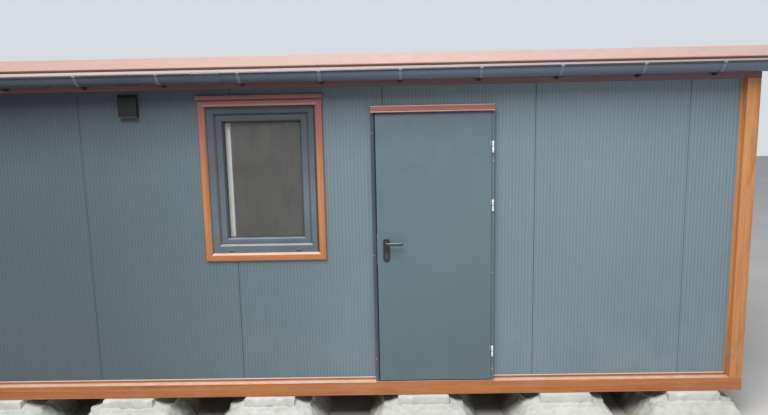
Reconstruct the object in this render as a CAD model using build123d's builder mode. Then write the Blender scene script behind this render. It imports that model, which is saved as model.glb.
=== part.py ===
from build123d import *
import math
import os

# Container house: a single-room cabin of insulated wall and roof panels on a
# steel base frame, standing on two rows of concrete footings, with one outward
# opening door and one window in the front wall and a roof that falls to a
# gutter on the front.
# Millimetres. +X to the right along the front wall, +Y into the house, +Z up.
# The origin is on the ground, at the centre of the footprint.

# ---------------------------------------------------------------- dimensions
WALL_LEN = 6196.0        # outer face to outer face of the end walls
WALL_DEPTH = 2440.0      # outer face of the front wall to outer face of the back wall
WALL_T = 100.0           # insulated wall panel
MODULE = 1150.0          # cover width of one wall panel
JOINT = 1.0              # half of the joint between two neighbouring panels
COVER = 50.0             # how far posts, base and eaves stand proud of the wall
SHEET = 2.5              # folded cover sheet

Y_MID = WALL_DEPTH / 2   # all Y values below are measured from the front wall's outer face
XW = WALL_LEN / 2        # outer face of the right wall
XC = XW + COVER          # outer face of the right corner cover

PAD_H = 190.0            # cast footing pads, sloping outwards
PAD_W, PAD_D = 900.0, 860.0
PAD_TOP_W, PAD_TOP_D = 580.0, 660.0
BLOCK_W, BLOCK_D = 400.0, 600.0
FOOT_TOP = 262.0
FOOT_X = [-2762.0, -1707.0, -577.0, 645.0, 1763.0, 2766.0]
BLOCK_FRONT = -92.0      # front face of the front blocks
PAD_FRONT = -260.0

BEAM_TOP = 366.0         # base frame
DECK_T = 30.0
FLOOR_Z = 372.0
LEDGE_Z = 371.5          # top of the ledge of the base cover
UPSTAND_Z = 397.0
BASE_COVER_Z = 264.0     # lower edge of the base cover

ROOF_ANGLE = 5.0
SLOPE = math.tan(math.radians(ROOF_ANGLE))
# steep strip along the eave: from its lower edge up to the fold, where the roof begins
STRIP_Y0, STRIP_Z0 = -80.0, 2838.0
STRIP_Y1, STRIP_Z1 = 33.0, 2920.0
STRIP_SLOPE = (STRIP_Z1 - STRIP_Z0) / (STRIP_Y1 - STRIP_Y0)
LIP = 11.0               # drop at the strip's lower edge
CAP_BACK_Y = 100.0       # how far the strip's sheet lies back on the roof
ROOF_FOLD_Z = 2916.8     # top of the roof panels at the fold
ROOF_BACK_Y = 2520.0
ROOF_T = 100.0
ROOF_T_V = ROOF_T / math.cos(math.radians(ROOF_ANGLE))
XR = 3375.0              # half length of the roof over its verge trims
EAVE_BEAM_H = 65.0
FASCIA_Z = 2679.0

# window in the front wall
WIN_X = -559.0
WIN_HALF = 432.5         # half width of the window frame
WIN_Z0, WIN_Z1 = 1400.0, 2565.0
FR_IN_HALF, FR_IN_Z0, FR_IN_Z1 = 350.0, 1494.0, 2488.0
SA_IN_HALF, SA_IN_Z0, SA_IN_Z1 = 297.0, 1529.0, 2433.0
TRIM_HALF, TRIM_IN_HALF = 471.0, 414.0
TRIM_Z0, TRIM_IN_Z0, TRIM_IN_Z1, TRIM_Z1 = 1366.0, 1425.0, 2551.0, 2604.0
CAP_Z1 = 2634.0

# door in the front wall
JAMB_X0, JAMB_X1 = 273.0, 1199.0
JAMB_IN0, JAMB_IN1 = 300.0, 1184.0
HEAD_Z0, HEAD_Z1 = 2482.5, 2520.0
STOP_W = 24.0
LEAF_X0, LEAF_X1 = 306.0, 1178.0
LEAF_Z0, LEAF_Z1 = 384.0, 2477.0
LEAF_Y0, LEAF_Y1 = -45.0, 0.0
SILL_Z = 378.0
HINGE_X, HINGE_Y = 1188.0, -53.0
HINGE_R, PIN_R, BORE_R = 7.0, 4.0, 4.06
HINGE_Z = [617.0, 1771.0, 2214.0]
HINGE_H = 88.0
LEVER_X, LEVER_Z = 375.0, 1490.0
PLATE_X0, PLATE_X1, PLATE_Z0, PLATE_Z1 = 349.0, 401.0, 1347.0, 1526.0

# gutter along the front eave
GUT_Y, GUT_Z = -127.5, 2788.0
GUT_R, GUT_T = 75.0, 3.0
BEAD_Y, BEAD_Z, BEAD_R = -202.5, 2780.0, 9.0
GUT_HALF = 3362.0
GUT_FALL = math.degrees(math.atan(14.0 / 6500.0))
BRACKET_X = [-2960.0, -2425.0, -1839.0, -1250.0, -663.0, -81.0, 500.0, 1077.0, 1650.0, 2236.0, 2793.0]
PIPE_X, PIPE_R = -3085.0, 40.0

SEAMS = [-1936.0 + MODULE * k for k in range(5)]         # joints of the long walls
SIDE_SEAMS = [Y_MID - MODULE / 2, Y_MID + MODULE / 2]    # joints of the end walls
ROOF_SEAMS = [-2 * MODULE, -MODULE, 0.0, MODULE, 2 * MODULE]


# ------------------------------------------------------------------- helpers
def block(x0, x1, y0, y1, z0, z1, mode=Mode.ADD):
    """A box between two corners, in the house's own Y."""
    with Locations(((x0 + x1) / 2, (y0 + y1) / 2 - Y_MID, (z0 + z1) / 2)):
        Box(x1 - x0, y1 - y0, z1 - z0, mode=mode)


def cross(x):
    """Section plane across the house at x: local (y, z)."""
    return Plane(origin=(x, -Y_MID, 0), x_dir=(0, 1, 0), z_dir=(1, 0, 0))


def facing(y):
    """Plane parallel to the front wall at y: local (x, z), normal towards the front."""
    return Plane(origin=(0, y - Y_MID, 0), x_dir=(1, 0, 0), z_dir=(0, -1, 0))


def profile(x0, x1, pts, mode=Mode.ADD):
    """A (y, z) outline run along the house from x0 to x1."""
    with BuildSketch(cross(x0)) as outline:
        with BuildLine():
            Polyline(*pts, close=True)
        make_face()
    extrude(outline.sketch, amount=x1 - x0, mode=mode)


def roof_top(y):
    return ROOF_FOLD_Z + SLOPE * (y - STRIP_Y1)


def strip_top(y):
    return STRIP_Z0 + STRIP_SLOPE * (y - STRIP_Y0)


def roof_under(y):
    return roof_top(y) - ROOF_T_V


def wall_top(y):
    return roof_under(y) - 0.5


def upright(y):
    """Rod axis frame along Y at the section of the lever."""
    return Plane(origin=(LEVER_X, y - Y_MID, LEVER_Z), x_dir=(1, 0, 0), z_dir=(0, 1, 0))


os.makedirs("parts", exist_ok=True)


def save(builder, label):
    builder.part.label = label
    export_step(builder.part, "parts/" + label + ".step")


# ------------------------------------------------------------------ footings
BLOCK_BACK = WALL_DEPTH - BLOCK_FRONT
PAD_BACK = WALL_DEPTH - PAD_FRONT

with BuildPart() as footing_pads:
    for cx in FOOT_X:
        for y0, y1, ty in ((PAD_FRONT, PAD_FRONT + PAD_D, BLOCK_FRONT - 15 + PAD_TOP_D / 2), (PAD_BACK - PAD_D, PAD_BACK, BLOCK_BACK + 15 - PAD_TOP_D / 2)):
            with BuildSketch(Plane.XY):
                with Locations((cx, (y0 + y1) / 2 - Y_MID)):
                    RectangleRounded(PAD_W, PAD_D, 60)
            with BuildSketch(Plane.XY.offset(PAD_H - 0.5)):
                with Locations((cx, ty - Y_MID)):
                    RectangleRounded(PAD_TOP_W, PAD_TOP_D, 60)
            loft(ruled=True)
save(footing_pads, "footing_pads")

with BuildPart() as footing_blocks:
    for cx in FOOT_X:
        for y0, y1 in ((BLOCK_FRONT, BLOCK_FRONT + BLOCK_D), (BLOCK_BACK - BLOCK_D, BLOCK_BACK)):
            block(cx - BLOCK_W / 2, cx + BLOCK_W / 2, y0, y1, PAD_H - 0.5, FOOT_TOP)
save(footing_blocks, "footing_blocks")

# ------------------------------------------------------- base frame and floor
BEAM_IN = WALL_T
with BuildPart() as base_beams:
    block(-XC + SHEET + 0.5, XC - SHEET - 0.5, -COVER + SHEET + 0.5, BEAM_IN, FOOT_TOP, BEAM_TOP)
    block(-XC + SHEET + 0.5, XC - SHEET - 0.5, WALL_DEPTH - BEAM_IN, WALL_DEPTH + COVER - SHEET - 0.5, FOOT_TOP, BEAM_TOP)
    for s in (-1, 1):
        x0, x1 = sorted((s * (XW - WALL_T), s * (XC - SHEET - 0.5)))
        block(x0, x1, BEAM_IN + 1, WALL_DEPTH - BEAM_IN - 1, FOOT_TOP, BEAM_TOP)
save(base_beams, "base_beams")

with BuildPart() as floor_joists:
    for k in range(5):
        cx = -2200.0 + 1100.0 * k
        block(cx - 30, cx + 30, BEAM_IN + 1, WALL_DEPTH - BEAM_IN - 1, FOOT_TOP + 4, FLOOR_Z - DECK_T)
save(floor_joists, "floor_joists")

with BuildPart() as floor_deck:
    block(-XW + WALL_T + 1, XW - WALL_T - 1, WALL_T + 1, WALL_DEPTH - WALL_T - 1, FLOOR_Z - DECK_T, FLOOR_Z)
save(floor_deck, "floor_deck")

# --------------------------------------------- folded covers round the base
CORNER_IN = 3033.0       # inner edge of the corner covers on the front wall
CORNER_STEP = 3048.0     # where a corner cover steps out from the wall
LEG = XC - CORNER_STEP   # width of the wide face of a corner cover


def base_cover_long(front):
    def y(v):
        return v if front else WALL_DEPTH - v

    def b(x0, x1, ya, yb, z0, z1):
        lo, hi = sorted((y(ya), y(yb)))
        block(x0, x1, lo, hi, z0, z1)

    b(-XC, XC, -COVER, -COVER + SHEET, BASE_COVER_Z, LEDGE_Z)
    b(-XC, XC, -COVER, -0.5, LEDGE_Z - SHEET, LEDGE_Z)
    if front:
        b(-CORNER_IN + 1, JAMB_X0 - 1, -SHEET, -0.2, LEDGE_Z - 0.5, UPSTAND_Z)
        b(JAMB_X1 + 1, CORNER_IN - 1, -SHEET, -0.2, LEDGE_Z - 0.5, UPSTAND_Z)
        b(JAMB_IN0, JAMB_IN1, -COVER, -COVER + SHEET, LEDGE_Z - 0.5, SILL_Z)
    else:
        b(-CORNER_IN + 1, CORNER_IN - 1, -SHEET, -0.2, LEDGE_Z - 0.5, UPSTAND_Z)


with BuildPart() as base_covers_long:
    base_cover_long(True)
    base_cover_long(False)
save(base_covers_long, "base_covers_long")

SIDE_IN = -COVER + LEG + 26.0   # inner edge of the corner covers on the end walls
with BuildPart() as base_covers_end:
    for s in (-1, 1):
        def bx(xa, xb, y0, y1, z0, z1):
            lo, hi = sorted((s * xa, s * xb))
            block(lo, hi, y0, y1, z0, z1)
        bx(XC - SHEET, XC, -COVER + SHEET + 0.3, WALL_DEPTH + COVER - SHEET - 0.3, BASE_COVER_Z, LEDGE_Z - SHEET - 0.3)
        bx(XW + 0.5, XC, 0.3, WALL_DEPTH - 0.3, LEDGE_Z - SHEET, LEDGE_Z)
        bx(XC - SHEET, XC, 0.3, WALL_DEPTH - 0.3, LEDGE_Z - SHEET - 0.5, LEDGE_Z)
        bx(XW + 0.2, XW + SHEET, SIDE_IN + 1, WALL_DEPTH - SIDE_IN - 1, LEDGE_Z - 0.5, UPSTAND_Z)
save(base_covers_end, "base_covers_end")

# ------------------------------------------------- corner posts and covers
POST_Z0 = LEDGE_Z + 0.3
with BuildPart() as corner_posts:
    for sx in (-1, 1):
        for back in (False, True):
            def leg(xa, xb, ya, yb):
                xs = sorted((sx * xa, sx * xb))
                ys = sorted(((WALL_DEPTH - ya, WALL_DEPTH - yb) if back else (ya, yb)))
                top = [(ys[0], wall_top(ys[0])), (ys[1], wall_top(ys[1]))]
                profile(xs[0], xs[1], [(ys[0], POST_Z0), (ys[1], POST_Z0), top[1], top[0]])
            leg(CORNER_STEP + SHEET + 0.5, XC - SHEET - 0.5, -COVER + SHEET + 0.5, -0.5)
            leg(XW + 0.5, XC - SHEET - 0.5, -0.5, -COVER + LEG - SHEET - 0.5)
save(corner_posts, "corner_posts")



def cover_top(y):
    """Upper end of the corner covers, just under the eave cover sheets."""
    if y < 0:
        return FASCIA_Z - 1.0
    if y > WALL_DEPTH:
        return wall_top(WALL_DEPTH) - EAVE_BEAM_H - 2.0
    return wall_top(y) - EAVE_BEAM_H - 2.0


with BuildPart() as corner_covers:
    for sx in (-1, 1):
        for back in (False, True):
            def strip(xa, xb, ya, yb):
                xs = sorted((sx * xa, sx * xb))
                ys = sorted(((WALL_DEPTH - ya, WALL_DEPTH - yb) if back else (ya, yb)))
                profile(xs[0], xs[1], [(ys[0], POST_Z0), (ys[1], POST_Z0),
                                       (ys[1], cover_top(ys[1])), (ys[0], cover_top(ys[0]))])
            strip(CORNER_IN, CORNER_STEP + SHEET, -SHEET, -0.2)
            strip(CORNER_STEP, CORNER_STEP + SHEET, -COVER, -0.2)
            strip(CORNER_STEP, XC, -COVER, -COVER + SHEET)
            strip(XC - SHEET, XC, -COVER, -COVER + LEG)
            strip(XW + 0.2, XC, -COVER + LEG - SHEET, -COVER + LEG)
            strip(XW + 0.2, XW + SHEET, -COVER + LEG - SHEET, SIDE_IN)
save(corner_covers, "corner_covers")

# --------------------------------------------------------------- wall panels
RO_X0, RO_X1 = WIN_X - WIN_HALF - 4, WIN_X + WIN_HALF + 4     # window opening in the wall
RO_Z0, RO_Z1 = WIN_Z0 - 4, WIN_Z1 + 4
RD_X0, RD_X1, RD_Z1 = JAMB_X0 - 0.5, JAMB_X1 + 0.5, HEAD_Z1 + 0.5   # door opening


def long_panel(x0, x1, y0, z0=BEAM_TOP):
    y1 = y0 + WALL_T
    profile(x0, x1, [(y0, z0), (y1, z0), (y1, wall_top(y1)), (y0, wall_top(y0))])


F = [-XW] + SEAMS + [XW]
with BuildPart() as front_panel_1:
    long_panel(F[0], F[1] - JOINT, 0)
save(front_panel_1, "front_panel_1")

with BuildPart() as front_panel_2:
    long_panel(F[1] + JOINT, F[2] - JOINT, 0)
    block(RO_X0, F[2] + 5, -5, WALL_T + 5, RO_Z0, RO_Z1, mode=Mode.SUBTRACT)
save(front_panel_2, "front_panel_2")

with BuildPart() as front_panel_3:
    long_panel(F[2] + JOINT, F[3] - JOINT, 0)
    block(F[2] - 5, RO_X1, -5, WALL_T + 5, RO_Z0, RO_Z1, mode=Mode.SUBTRACT)
    block(RD_X0, F[3] + 5, -5, WALL_T + 5, BEAM_TOP - 5, RD_Z1, mode=Mode.SUBTRACT)
save(front_panel_3, "front_panel_3")

with BuildPart() as front_panel_over_door:
    long_panel(F[3] + JOINT, RD_X1, 0, z0=RD_Z1)
save(front_panel_over_door, "front_panel_over_door")

with BuildPart() as front_panel_4:
    long_panel(RD_X1, F[4] - JOINT, 0)
save(front_panel_4, "front_panel_4")

# the plain panel and the cut panel at the right corner
with BuildPart() as front_panels_right:
    long_panel(F[4] + JOINT, F[5] - JOINT, 0)
    long_panel(F[5] + JOINT, F[6], 0)
save(front_panels_right, "front_panels_right")

with BuildPart() as back_wall_panels:
    for a, b in zip(F[:-1], F[1:]):
        long_panel(a + JOINT, b - JOINT, WALL_DEPTH - WALL_T)
save(back_wall_panels, "back_wall_panels")

S = [WALL_T] + SIDE_SEAMS + [WALL_DEPTH - WALL_T]


def end_wall(x0, x1):
    for a, b in zip(S[:-1], S[1:]):
        y0, y1 = a + JOINT, b - JOINT
        profile(x0, x1, [(y0, BEAM_TOP), (y1, BEAM_TOP), (y1, wall_top(y1)), (y0, wall_top(y0))])


with BuildPart() as left_wall_panels:
    end_wall(-XW, -XW + WALL_T)
save(left_wall_panels, "left_wall_panels")

with BuildPart() as right_wall_panels:
    end_wall(XW - WALL_T, XW)
save(right_wall_panels, "right_wall_panels")

# ------------------------------------------------------------ eaves and roof
with BuildPart() as eave_beams:
    for y0, y1 in ((-COVER + SHEET + 0.5, -0.5), (WALL_DEPTH + 0.5, WALL_DEPTH + COVER - SHEET - 0.5)):
        profile(-CORNER_STEP - SHEET + 0.5, CORNER_STEP + SHEET - 0.5,
                [(y0, wall_top(y0) - EAVE_BEAM_H), (y1, wall_top(y0) - EAVE_BEAM_H), (y1, wall_top(y1)), (y0, wall_top(y0))])
    ya, yb = -COVER + LEG, WALL_DEPTH + COVER - LEG
    for s in (-1, 1):
        x0, x1 = sorted((s * (XW + 0.5), s * (XC - SHEET - 0.5)))
        profile(x0, x1, [(ya, wall_top(ya) - EAVE_BEAM_H), (yb, wall_top(yb) - EAVE_BEAM_H), (yb, wall_top(yb)), (ya, wall_top(ya))])
save(eave_beams, "eave_beams")

with BuildPart() as fascias:
    # front: between the corners below the roof, and along the whole roof edge
    yf = -COVER
    block(-XC, XC, yf, yf + SHEET, FASCIA_Z, roof_under(yf) - 0.5)
    block(-XR + 3.5, XR - 3.5, yf, yf + SHEET, roof_under(yf) - 1.0, strip_top(yf) - 3.5)
    # back
    yb = WALL_DEPTH + COVER
    zb = wall_top(yb) - EAVE_BEAM_H
    block(-XC, XC, yb - SHEET, yb, zb, roof_under(yb - SHEET) - 0.5)
    # the two sloping ends
    ya, yb = -COVER + SHEET + 0.3, WALL_DEPTH + COVER - SHEET - 0.3
    for s in (-1, 1):
        x0, x1 = sorted((s * (XC - SHEET), s * XC))
        profile(x0, x1, [(ya, wall_top(ya) - EAVE_BEAM_H - 1), (yb, wall_top(yb) - EAVE_BEAM_H - 1),
                         (yb, wall_top(yb)), (ya, wall_top(ya))])
save(fascias, "fascias")

R = [-XR + 3.5] + ROOF_SEAMS + [XR - 3.5]
RY0, RY1 = -COVER + SHEET + 0.3, ROOF_BACK_Y - SHEET - 0.5
with BuildPart() as roof_panels:
    for a, b in zip(R[:-1], R[1:]):
        x0 = a if a == R[0] else a + JOINT
        x1 = b if b == R[-1] else b - JOINT
        # the front end is cut on a bevel under the steep strip
        profile(x0, x1, [(RY0, roof_under(RY0)), (RY1, roof_under(RY1)), (RY1, roof_top(RY1)), (STRIP_Y1, roof_top(STRIP_Y1)),
                         (RY0, strip_top(RY0) - 3.5)])
save(roof_panels, "roof_panels")

# eave edge: a steep strip of sheet from a short drop in front up to the fold,
# and back on the roof from there
with BuildPart() as roof_edge_front:
    a, b, c = STRIP_Y0, STRIP_Y1, CAP_BACK_Y
    profile(-XR, XR, [(a, STRIP_Z0 - LIP), (a + 2.0, STRIP_Z0 - LIP), (a + 2.0, strip_top(a + 2.0) - 2.5),
                      (b, STRIP_Z1 - 2.5), (c, roof_top(c) + 0.7), (c, roof_top(c) + 3.2), (b, STRIP_Z1), (a, STRIP_Z0)])
save(roof_edge_front, "roof_edge_front")

# apron from the fascia down into the gutter
with BuildPart() as eave_apron:
    profile(-GUT_HALF + 8, GUT_HALF - 8, [(-50.3, 2828.0), (-50.3, 2826.0), (-113.0, 2794.5), (-113.0, 2770.0), (-115.0, 2770.0), (-115.0, 2796.0)])
save(eave_apron, "eave_apron")

# verge trims along the two sloping roof edges, and the high back edge
V0, V1 = CAP_BACK_Y + 0.5, ROOF_BACK_Y - SHEET - 0.5
with BuildPart() as verge_trims:
    for s in (-1, 1):
        x0, x1 = sorted((s * (XR - 2.5), s * XR))
        a, b = -COVER + SHEET + 0.3, V1
        profile(x0, x1, [(a, roof_under(a) - 12), (b, roof_under(b) - 12), (b, roof_top(b) + 2.5), (V0, roof_top(V0) + 2.5),
                         (V0, roof_top(V0) + 0.3), (STRIP_Y1, roof_top(STRIP_Y1)), (a, strip_top(a) - 3.5)])
        x0, x1 = sorted((s * (XR - 100), s * XR))
        profile(x0, x1, [(V0, roof_top(V0) + 0.3), (V1, roof_top(V1) + 0.3), (V1, roof_top(V1) + 2.5), (V0, roof_top(V0) + 2.5)])
save(verge_trims, "verge_trims")

with BuildPart() as roof_edge_back:
    b = ROOF_BACK_Y
    profile(-XR, XR, [(b - 2.2, roof_under(b) - 12), (b, roof_under(b) - 12), (b, roof_top(b) + 5.0),
                      (b - 110, roof_top(b - 110) + 5.0), (b - 110, roof_top(b - 110) + 3.0), (b - 2.2, roof_top(b - 2.2) + 3.0)])
save(roof_edge_back, "roof_edge_back")

# -------------------------------------------------------------------- gutter
# The gutter, its fittings and brackets are drawn level and then tipped a
# little about the middle of the house, so that the water runs to the left.
TIP = Pos(0, 0, GUT_Z) * Rotation(0, -GUT_FALL, 0) * Pos(0, 0, -GUT_Z)


def trough(r, bead):
    """Outline of the gutter's outside: a half round of radius r with a bead."""
    with Locations((GUT_Y, GUT_Z)):
        Circle(r)
    with Locations((GUT_Y, GUT_Z + 100)):
        Rectangle(400, 200, mode=Mode.SUBTRACT)
    with Locations((BEAD_Y, BEAD_Z)):
        Circle(bead)


def behind():
    """Cut away what would reach into the fascia."""
    with Locations((-COVER - 0.4 + 100, GUT_Z)):
        Rectangle(200, 400, mode=Mode.SUBTRACT)


UNION_X0, UNION_X1 = -1001.0, -793.0     # the union over the joint of the two gutter lengths

with BuildPart() as gutter_level:
    with BuildSketch(cross(-GUT_HALF)):
        trough(GUT_R, BEAD_R)
        with Locations((GUT_Y, GUT_Z)):
            Circle(GUT_R - GUT_T, mode=Mode.SUBTRACT)
        with Locations((BEAD_Y, BEAD_Z)):
            Circle(BEAD_R)
    extrude(amount=2 * GUT_HALF)
    with Locations((PIPE_X, GUT_Y - Y_MID, GUT_Z - GUT_R)):
        Cylinder(PIPE_R - 4, 30, mode=Mode.SUBTRACT)
    block((UNION_X0 + UNION_X1) / 2 - 3, (UNION_X0 + UNION_X1) / 2 + 3, -250, 0, 2700, 2850, mode=Mode.SUBTRACT)
with BuildPart() as gutter:
    add(TIP * gutter_level.part)
save(gutter, "gutter")

with BuildPart() as caps_level:
    for x0 in (-GUT_HALF - 3.2, GUT_HALF + 0.2):
        with BuildSketch(cross(x0)):
            trough(GUT_R + 1.5, BEAD_R + 1.0)
            behind()
        extrude(amount=3.0)
with BuildPart() as gutter_end_caps:
    add(TIP * caps_level.part)
save(gutter_end_caps, "gutter_end_caps")

with BuildPart() as fittings_level:
    with BuildSketch(cross(UNION_X0)):
        trough(GUT_R + 3.3, BEAD_R + 3.0)
        behind()
        with Locations((GUT_Y, GUT_Z)):
            Circle(GUT_R + 0.3, mode=Mode.SUBTRACT)
        with Locations((BEAD_Y, BEAD_Z)):
            Circle(BEAD_R + 0.3, mode=Mode.SUBTRACT)
    extrude(amount=UNION_X1 - UNION_X0)
    with BuildSketch(cross(PIPE_X - 75)):
        trough(GUT_R + 3.3, BEAD_R + 3.0)
        behind()
        with Locations((GUT_Y, GUT_Z)):
            Circle(GUT_R + 0.3, mode=Mode.SUBTRACT)
        with Locations((BEAD_Y, BEAD_Z)):
            Circle(BEAD_R + 0.3, mode=Mode.SUBTRACT)
    extrude(amount=150)
    with BuildSketch(Plane(origin=(PIPE_X, GUT_Y - Y_MID, GUT_Z - GUT_R - 75))):
        Circle(PIPE_R + 4)
    extrude(amount=90)
    with BuildSketch(Plane(origin=(PIPE_X, GUT_Y - Y_MID, GUT_Z - GUT_R - 80))):
        Circle(PIPE_R + 0.4)
    extrude(amount=75, mode=Mode.SUBTRACT)
    with BuildSketch(Plane(origin=(PIPE_X, GUT_Y - Y_MID, GUT_Z - GUT_R - 80))):
        Circle(PIPE_R - 4)
    extrude(amount=110, mode=Mode.SUBTRACT)
    with BuildSketch(cross(PIPE_X - 90)):
        with Locations((GUT_Y, GUT_Z)):
            Circle(GUT_R + 0.3)
    extrude(amount=180, mode=Mode.SUBTRACT)
with BuildPart() as gutter_fittings:
    add(TIP * fittings_level.part)
save(gutter_fittings, "gutter_fittings")

BRACKET_W = 24.0
with BuildPart() as brackets_level:
    for cx in BRACKET_X:
        with BuildSketch(cross(cx - BRACKET_W / 2)):
            # strap round the gutter
            trough(GUT_R + 3.3, BEAD_R + 3.0)
            # foot under the gutter and plate on the fascia
            with BuildLine():
                Polyline((-COVER - 0.2, 2694.0), (-COVER - 9.0, 2694.0), (-108.0, GUT_Z - GUT_R), (-COVER - 0.2, 2760.0), close=True)
            make_face()
            with Locations((-COVER - 3.2, 2740.0)):
                Rectangle(6.0, 90.0)
            with Locations((GUT_Y, GUT_Z + 102.0)):
                Rectangle(300, 200, mode=Mode.SUBTRACT)
            with Locations((-COVER - 0.2 + 50.0, GUT_Z - 50)):
                Rectangle(100.0, 300, mode=Mode.SUBTRACT)
            with Locations((GUT_Y, GUT_Z)):
                Circle(GUT_R + 0.3, mode=Mode.SUBTRACT)
            with Locations((BEAD_Y, BEAD_Z)):
                Circle(BEAD_R + 0.3, mode=Mode.SUBTRACT)
        extrude(amount=BRACKET_W)
with BuildPart() as gutter_brackets:
    add(TIP * brackets_level.part)
save(gutter_brackets, "gutter_brackets")

PIPE_TOP = GUT_Z - GUT_R - 24.0
PIPE_BEND_Z = 360.0
with BuildPart() as downpipe:
    with BuildLine(Plane(origin=(PIPE_X, GUT_Y - Y_MID, 0), x_dir=(0, -1, 0), z_dir=(-1, 0, 0))) as run:
        FilletPolyline((0, PIPE_TOP), (0, PIPE_BEND_Z), (90, PIPE_BEND_Z - 90), radius=80)
    with BuildSketch(Plane(origin=(PIPE_X, GUT_Y - Y_MID, PIPE_TOP), z_dir=(0, 0, -1))):
        Circle(PIPE_R)
        Circle(PIPE_R - 3, mode=Mode.SUBTRACT)
    sweep(path=run.wires()[0])
save(downpipe, "downpipe")

with BuildPart() as downpipe_clips:
    for cz in (700.0, 1500.0, 2300.0):
        with BuildSketch(Plane(origin=(0, -Y_MID, cz - 12.5))):
            with Locations((PIPE_X, GUT_Y)):
                Circle(PIPE_R + 4)
            with Locations((PIPE_X, (GUT_Y - COVER) / 2)):
                Rectangle(26, -COVER - GUT_Y - 0.4)
            with Locations((PIPE_X, GUT_Y)):
                Circle(PIPE_R + 0.3, mode=Mode.SUBTRACT)
        extrude(amount=25)
save(downpipe_clips, "downpipe_clips")

# -------------------------------------------------------------------- window
def ring(x_half, z0, z1, in_half, iz0, iz1, y0, y1):
    block(WIN_X - x_half, WIN_X + x_half, y0, y1, z0, z1)
    block(WIN_X - in_half, WIN_X + in_half, y0 - 1, y1 + 1, iz0, iz1, mode=Mode.SUBTRACT)


with BuildPart() as window_frame:
    ring(WIN_HALF, WIN_Z0, WIN_Z1, FR_IN_HALF, FR_IN_Z0, FR_IN_Z1, 2, 72)
save(window_frame, "window_frame")

with BuildPart() as window_sash:
    ring(FR_IN_HALF - 1.5, FR_IN_Z0 + 1.5, FR_IN_Z1 - 1.5, SA_IN_HALF, SA_IN_Z0, SA_IN_Z1, 20, 84)
save(window_sash, "window_sash")

with BuildPart() as window_glass:
    block(WIN_X - SA_IN_HALF + 0.4, WIN_X + SA_IN_HALF - 0.4, 46, 70, SA_IN_Z0 + 0.4, SA_IN_Z1 - 0.4)
save(window_glass, "window_glass")

# white lining of the opening on the room side, wider at its left
LIN_L = SA_IN_HALF - 42.0
with BuildPart() as window_lining:
    block(WIN_X - WIN_HALF - 60, WIN_X + WIN_HALF + 60, WALL_T + 0.3, WALL_T + 12, WIN_Z0 - 60, WIN_Z1 + 60)
    block(WIN_X - WIN_HALF - 3.5, WIN_X + WIN_HALF + 3.5, 85, WALL_T + 1, WIN_Z0 - 3.5, WIN_Z1 + 3.5)
    block(WIN_X - LIN_L, WIN_X + SA_IN_HALF + 6, 80, WALL_T + 20, SA_IN_Z0 - 6, SA_IN_Z1 + 6, mode=Mode.SUBTRACT)
save(window_lining, "window_lining")

with BuildPart() as window_trim:
    block(WIN_X - TRIM_HALF, WIN_X + TRIM_HALF, -18, -0.3, TRIM_Z0, TRIM_Z1)
    block(WIN_X - TRIM_HALF - 6, WIN_X + TRIM_HALF + 6, -32, -0.3, TRIM_Z1 - 4, CAP_Z1)
    block(WIN_X - TRIM_IN_HALF, WIN_X + TRIM_IN_HALF, -40, 5, TRIM_IN_Z0, TRIM_IN_Z1, mode=Mode.SUBTRACT)
save(window_trim, "window_trim")

# ---------------------------------------------------------------- wall vent
VENT_X0, VENT_X1, VENT_Z0, VENT_Z1, VENT_D = -1619.0, -1478.0, 2483.0, 2648.0, 34.0
with BuildPart() as vent_hood:
    profile(VENT_X0, VENT_X1, [(-0.3, VENT_Z0), (-VENT_D, VENT_Z0), (-VENT_D, VENT_Z1 - 12), (-VENT_D + 12, VENT_Z1), (-0.3, VENT_Z1)])
    profile(VENT_X0 + 4, VENT_X1 - 4, [(-4, VENT_Z0 - 5), (-VENT_D + 4, VENT_Z0 - 5), (-VENT_D + 4, VENT_Z1 - 14), (-VENT_D + 14, VENT_Z1 - 5), (-4, VENT_Z1 - 5)], mode=Mode.SUBTRACT)
save(vent_hood, "vent_hood")

# ---------------------------------------------------------------------- door
with BuildPart() as door_frame:
    block(JAMB_X0, JAMB_X1, LEAF_Y0, WALL_T, SILL_Z + 0.3, HEAD_Z1)
    block(JAMB_IN0, JAMB_IN1, LEAF_Y0 - 1, 6, SILL_Z - 1, HEAD_Z0, mode=Mode.SUBTRACT)
    block(JAMB_IN0 + STOP_W, JAMB_IN1 - STOP_W, 5, WALL_T + 1, SILL_Z - 1, HEAD_Z0 - STOP_W, mode=Mode.SUBTRACT)
    # room side steps back behind the stop
    block(JAMB_IN0, JAMB_IN1, 46, WALL_T + 1, SILL_Z - 1, HEAD_Z0, mode=Mode.SUBTRACT)
save(door_frame, "door_frame")

with BuildPart() as door_sill:
    block(JAMB_X0, JAMB_X1, -COVER + SHEET + 0.3, WALL_T, LEDGE_Z + 0.3, SILL_Z)
save(door_sill, "door_sill")

with BuildPart() as door_lintel_trim:
    profile(JAMB_X0, JAMB_X1, [(LEAF_Y0 - 0.3, 2479.5), (-63, 2479.5), (-63, 2486.0), (-56, 2490.0), (-56, 2526.0), (-50, 2533.0), (-0.3, 2533.0), (-0.3, HEAD_Z1 + 1.0), (LEAF_Y0 - 0.3, HEAD_Z1 + 1.0)])
save(door_lintel_trim, "door_lintel_trim")


def hinge_axis(z):
    return Plane(origin=(HINGE_X, HINGE_Y - Y_MID, z))


with BuildPart() as door_hinge_pins:
    for cz in HINGE_Z:
        z0, zm, z1 = cz - HINGE_H / 2, cz, cz + HINGE_H / 2
        with BuildSketch(hinge_axis(z0)):
            Circle(HINGE_R)
        extrude(amount=zm - z0)
        with BuildSketch(hinge_axis(z0)):
            Circle(PIN_R)
        extrude(amount=z1 - z0 - 4)
        block(HINGE_X, JAMB_X1 - 3, LEAF_Y0 - 3.5, LEAF_Y0, z0 + 2, zm - 2)
save(door_hinge_pins, "door_hinge_pins")

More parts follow.
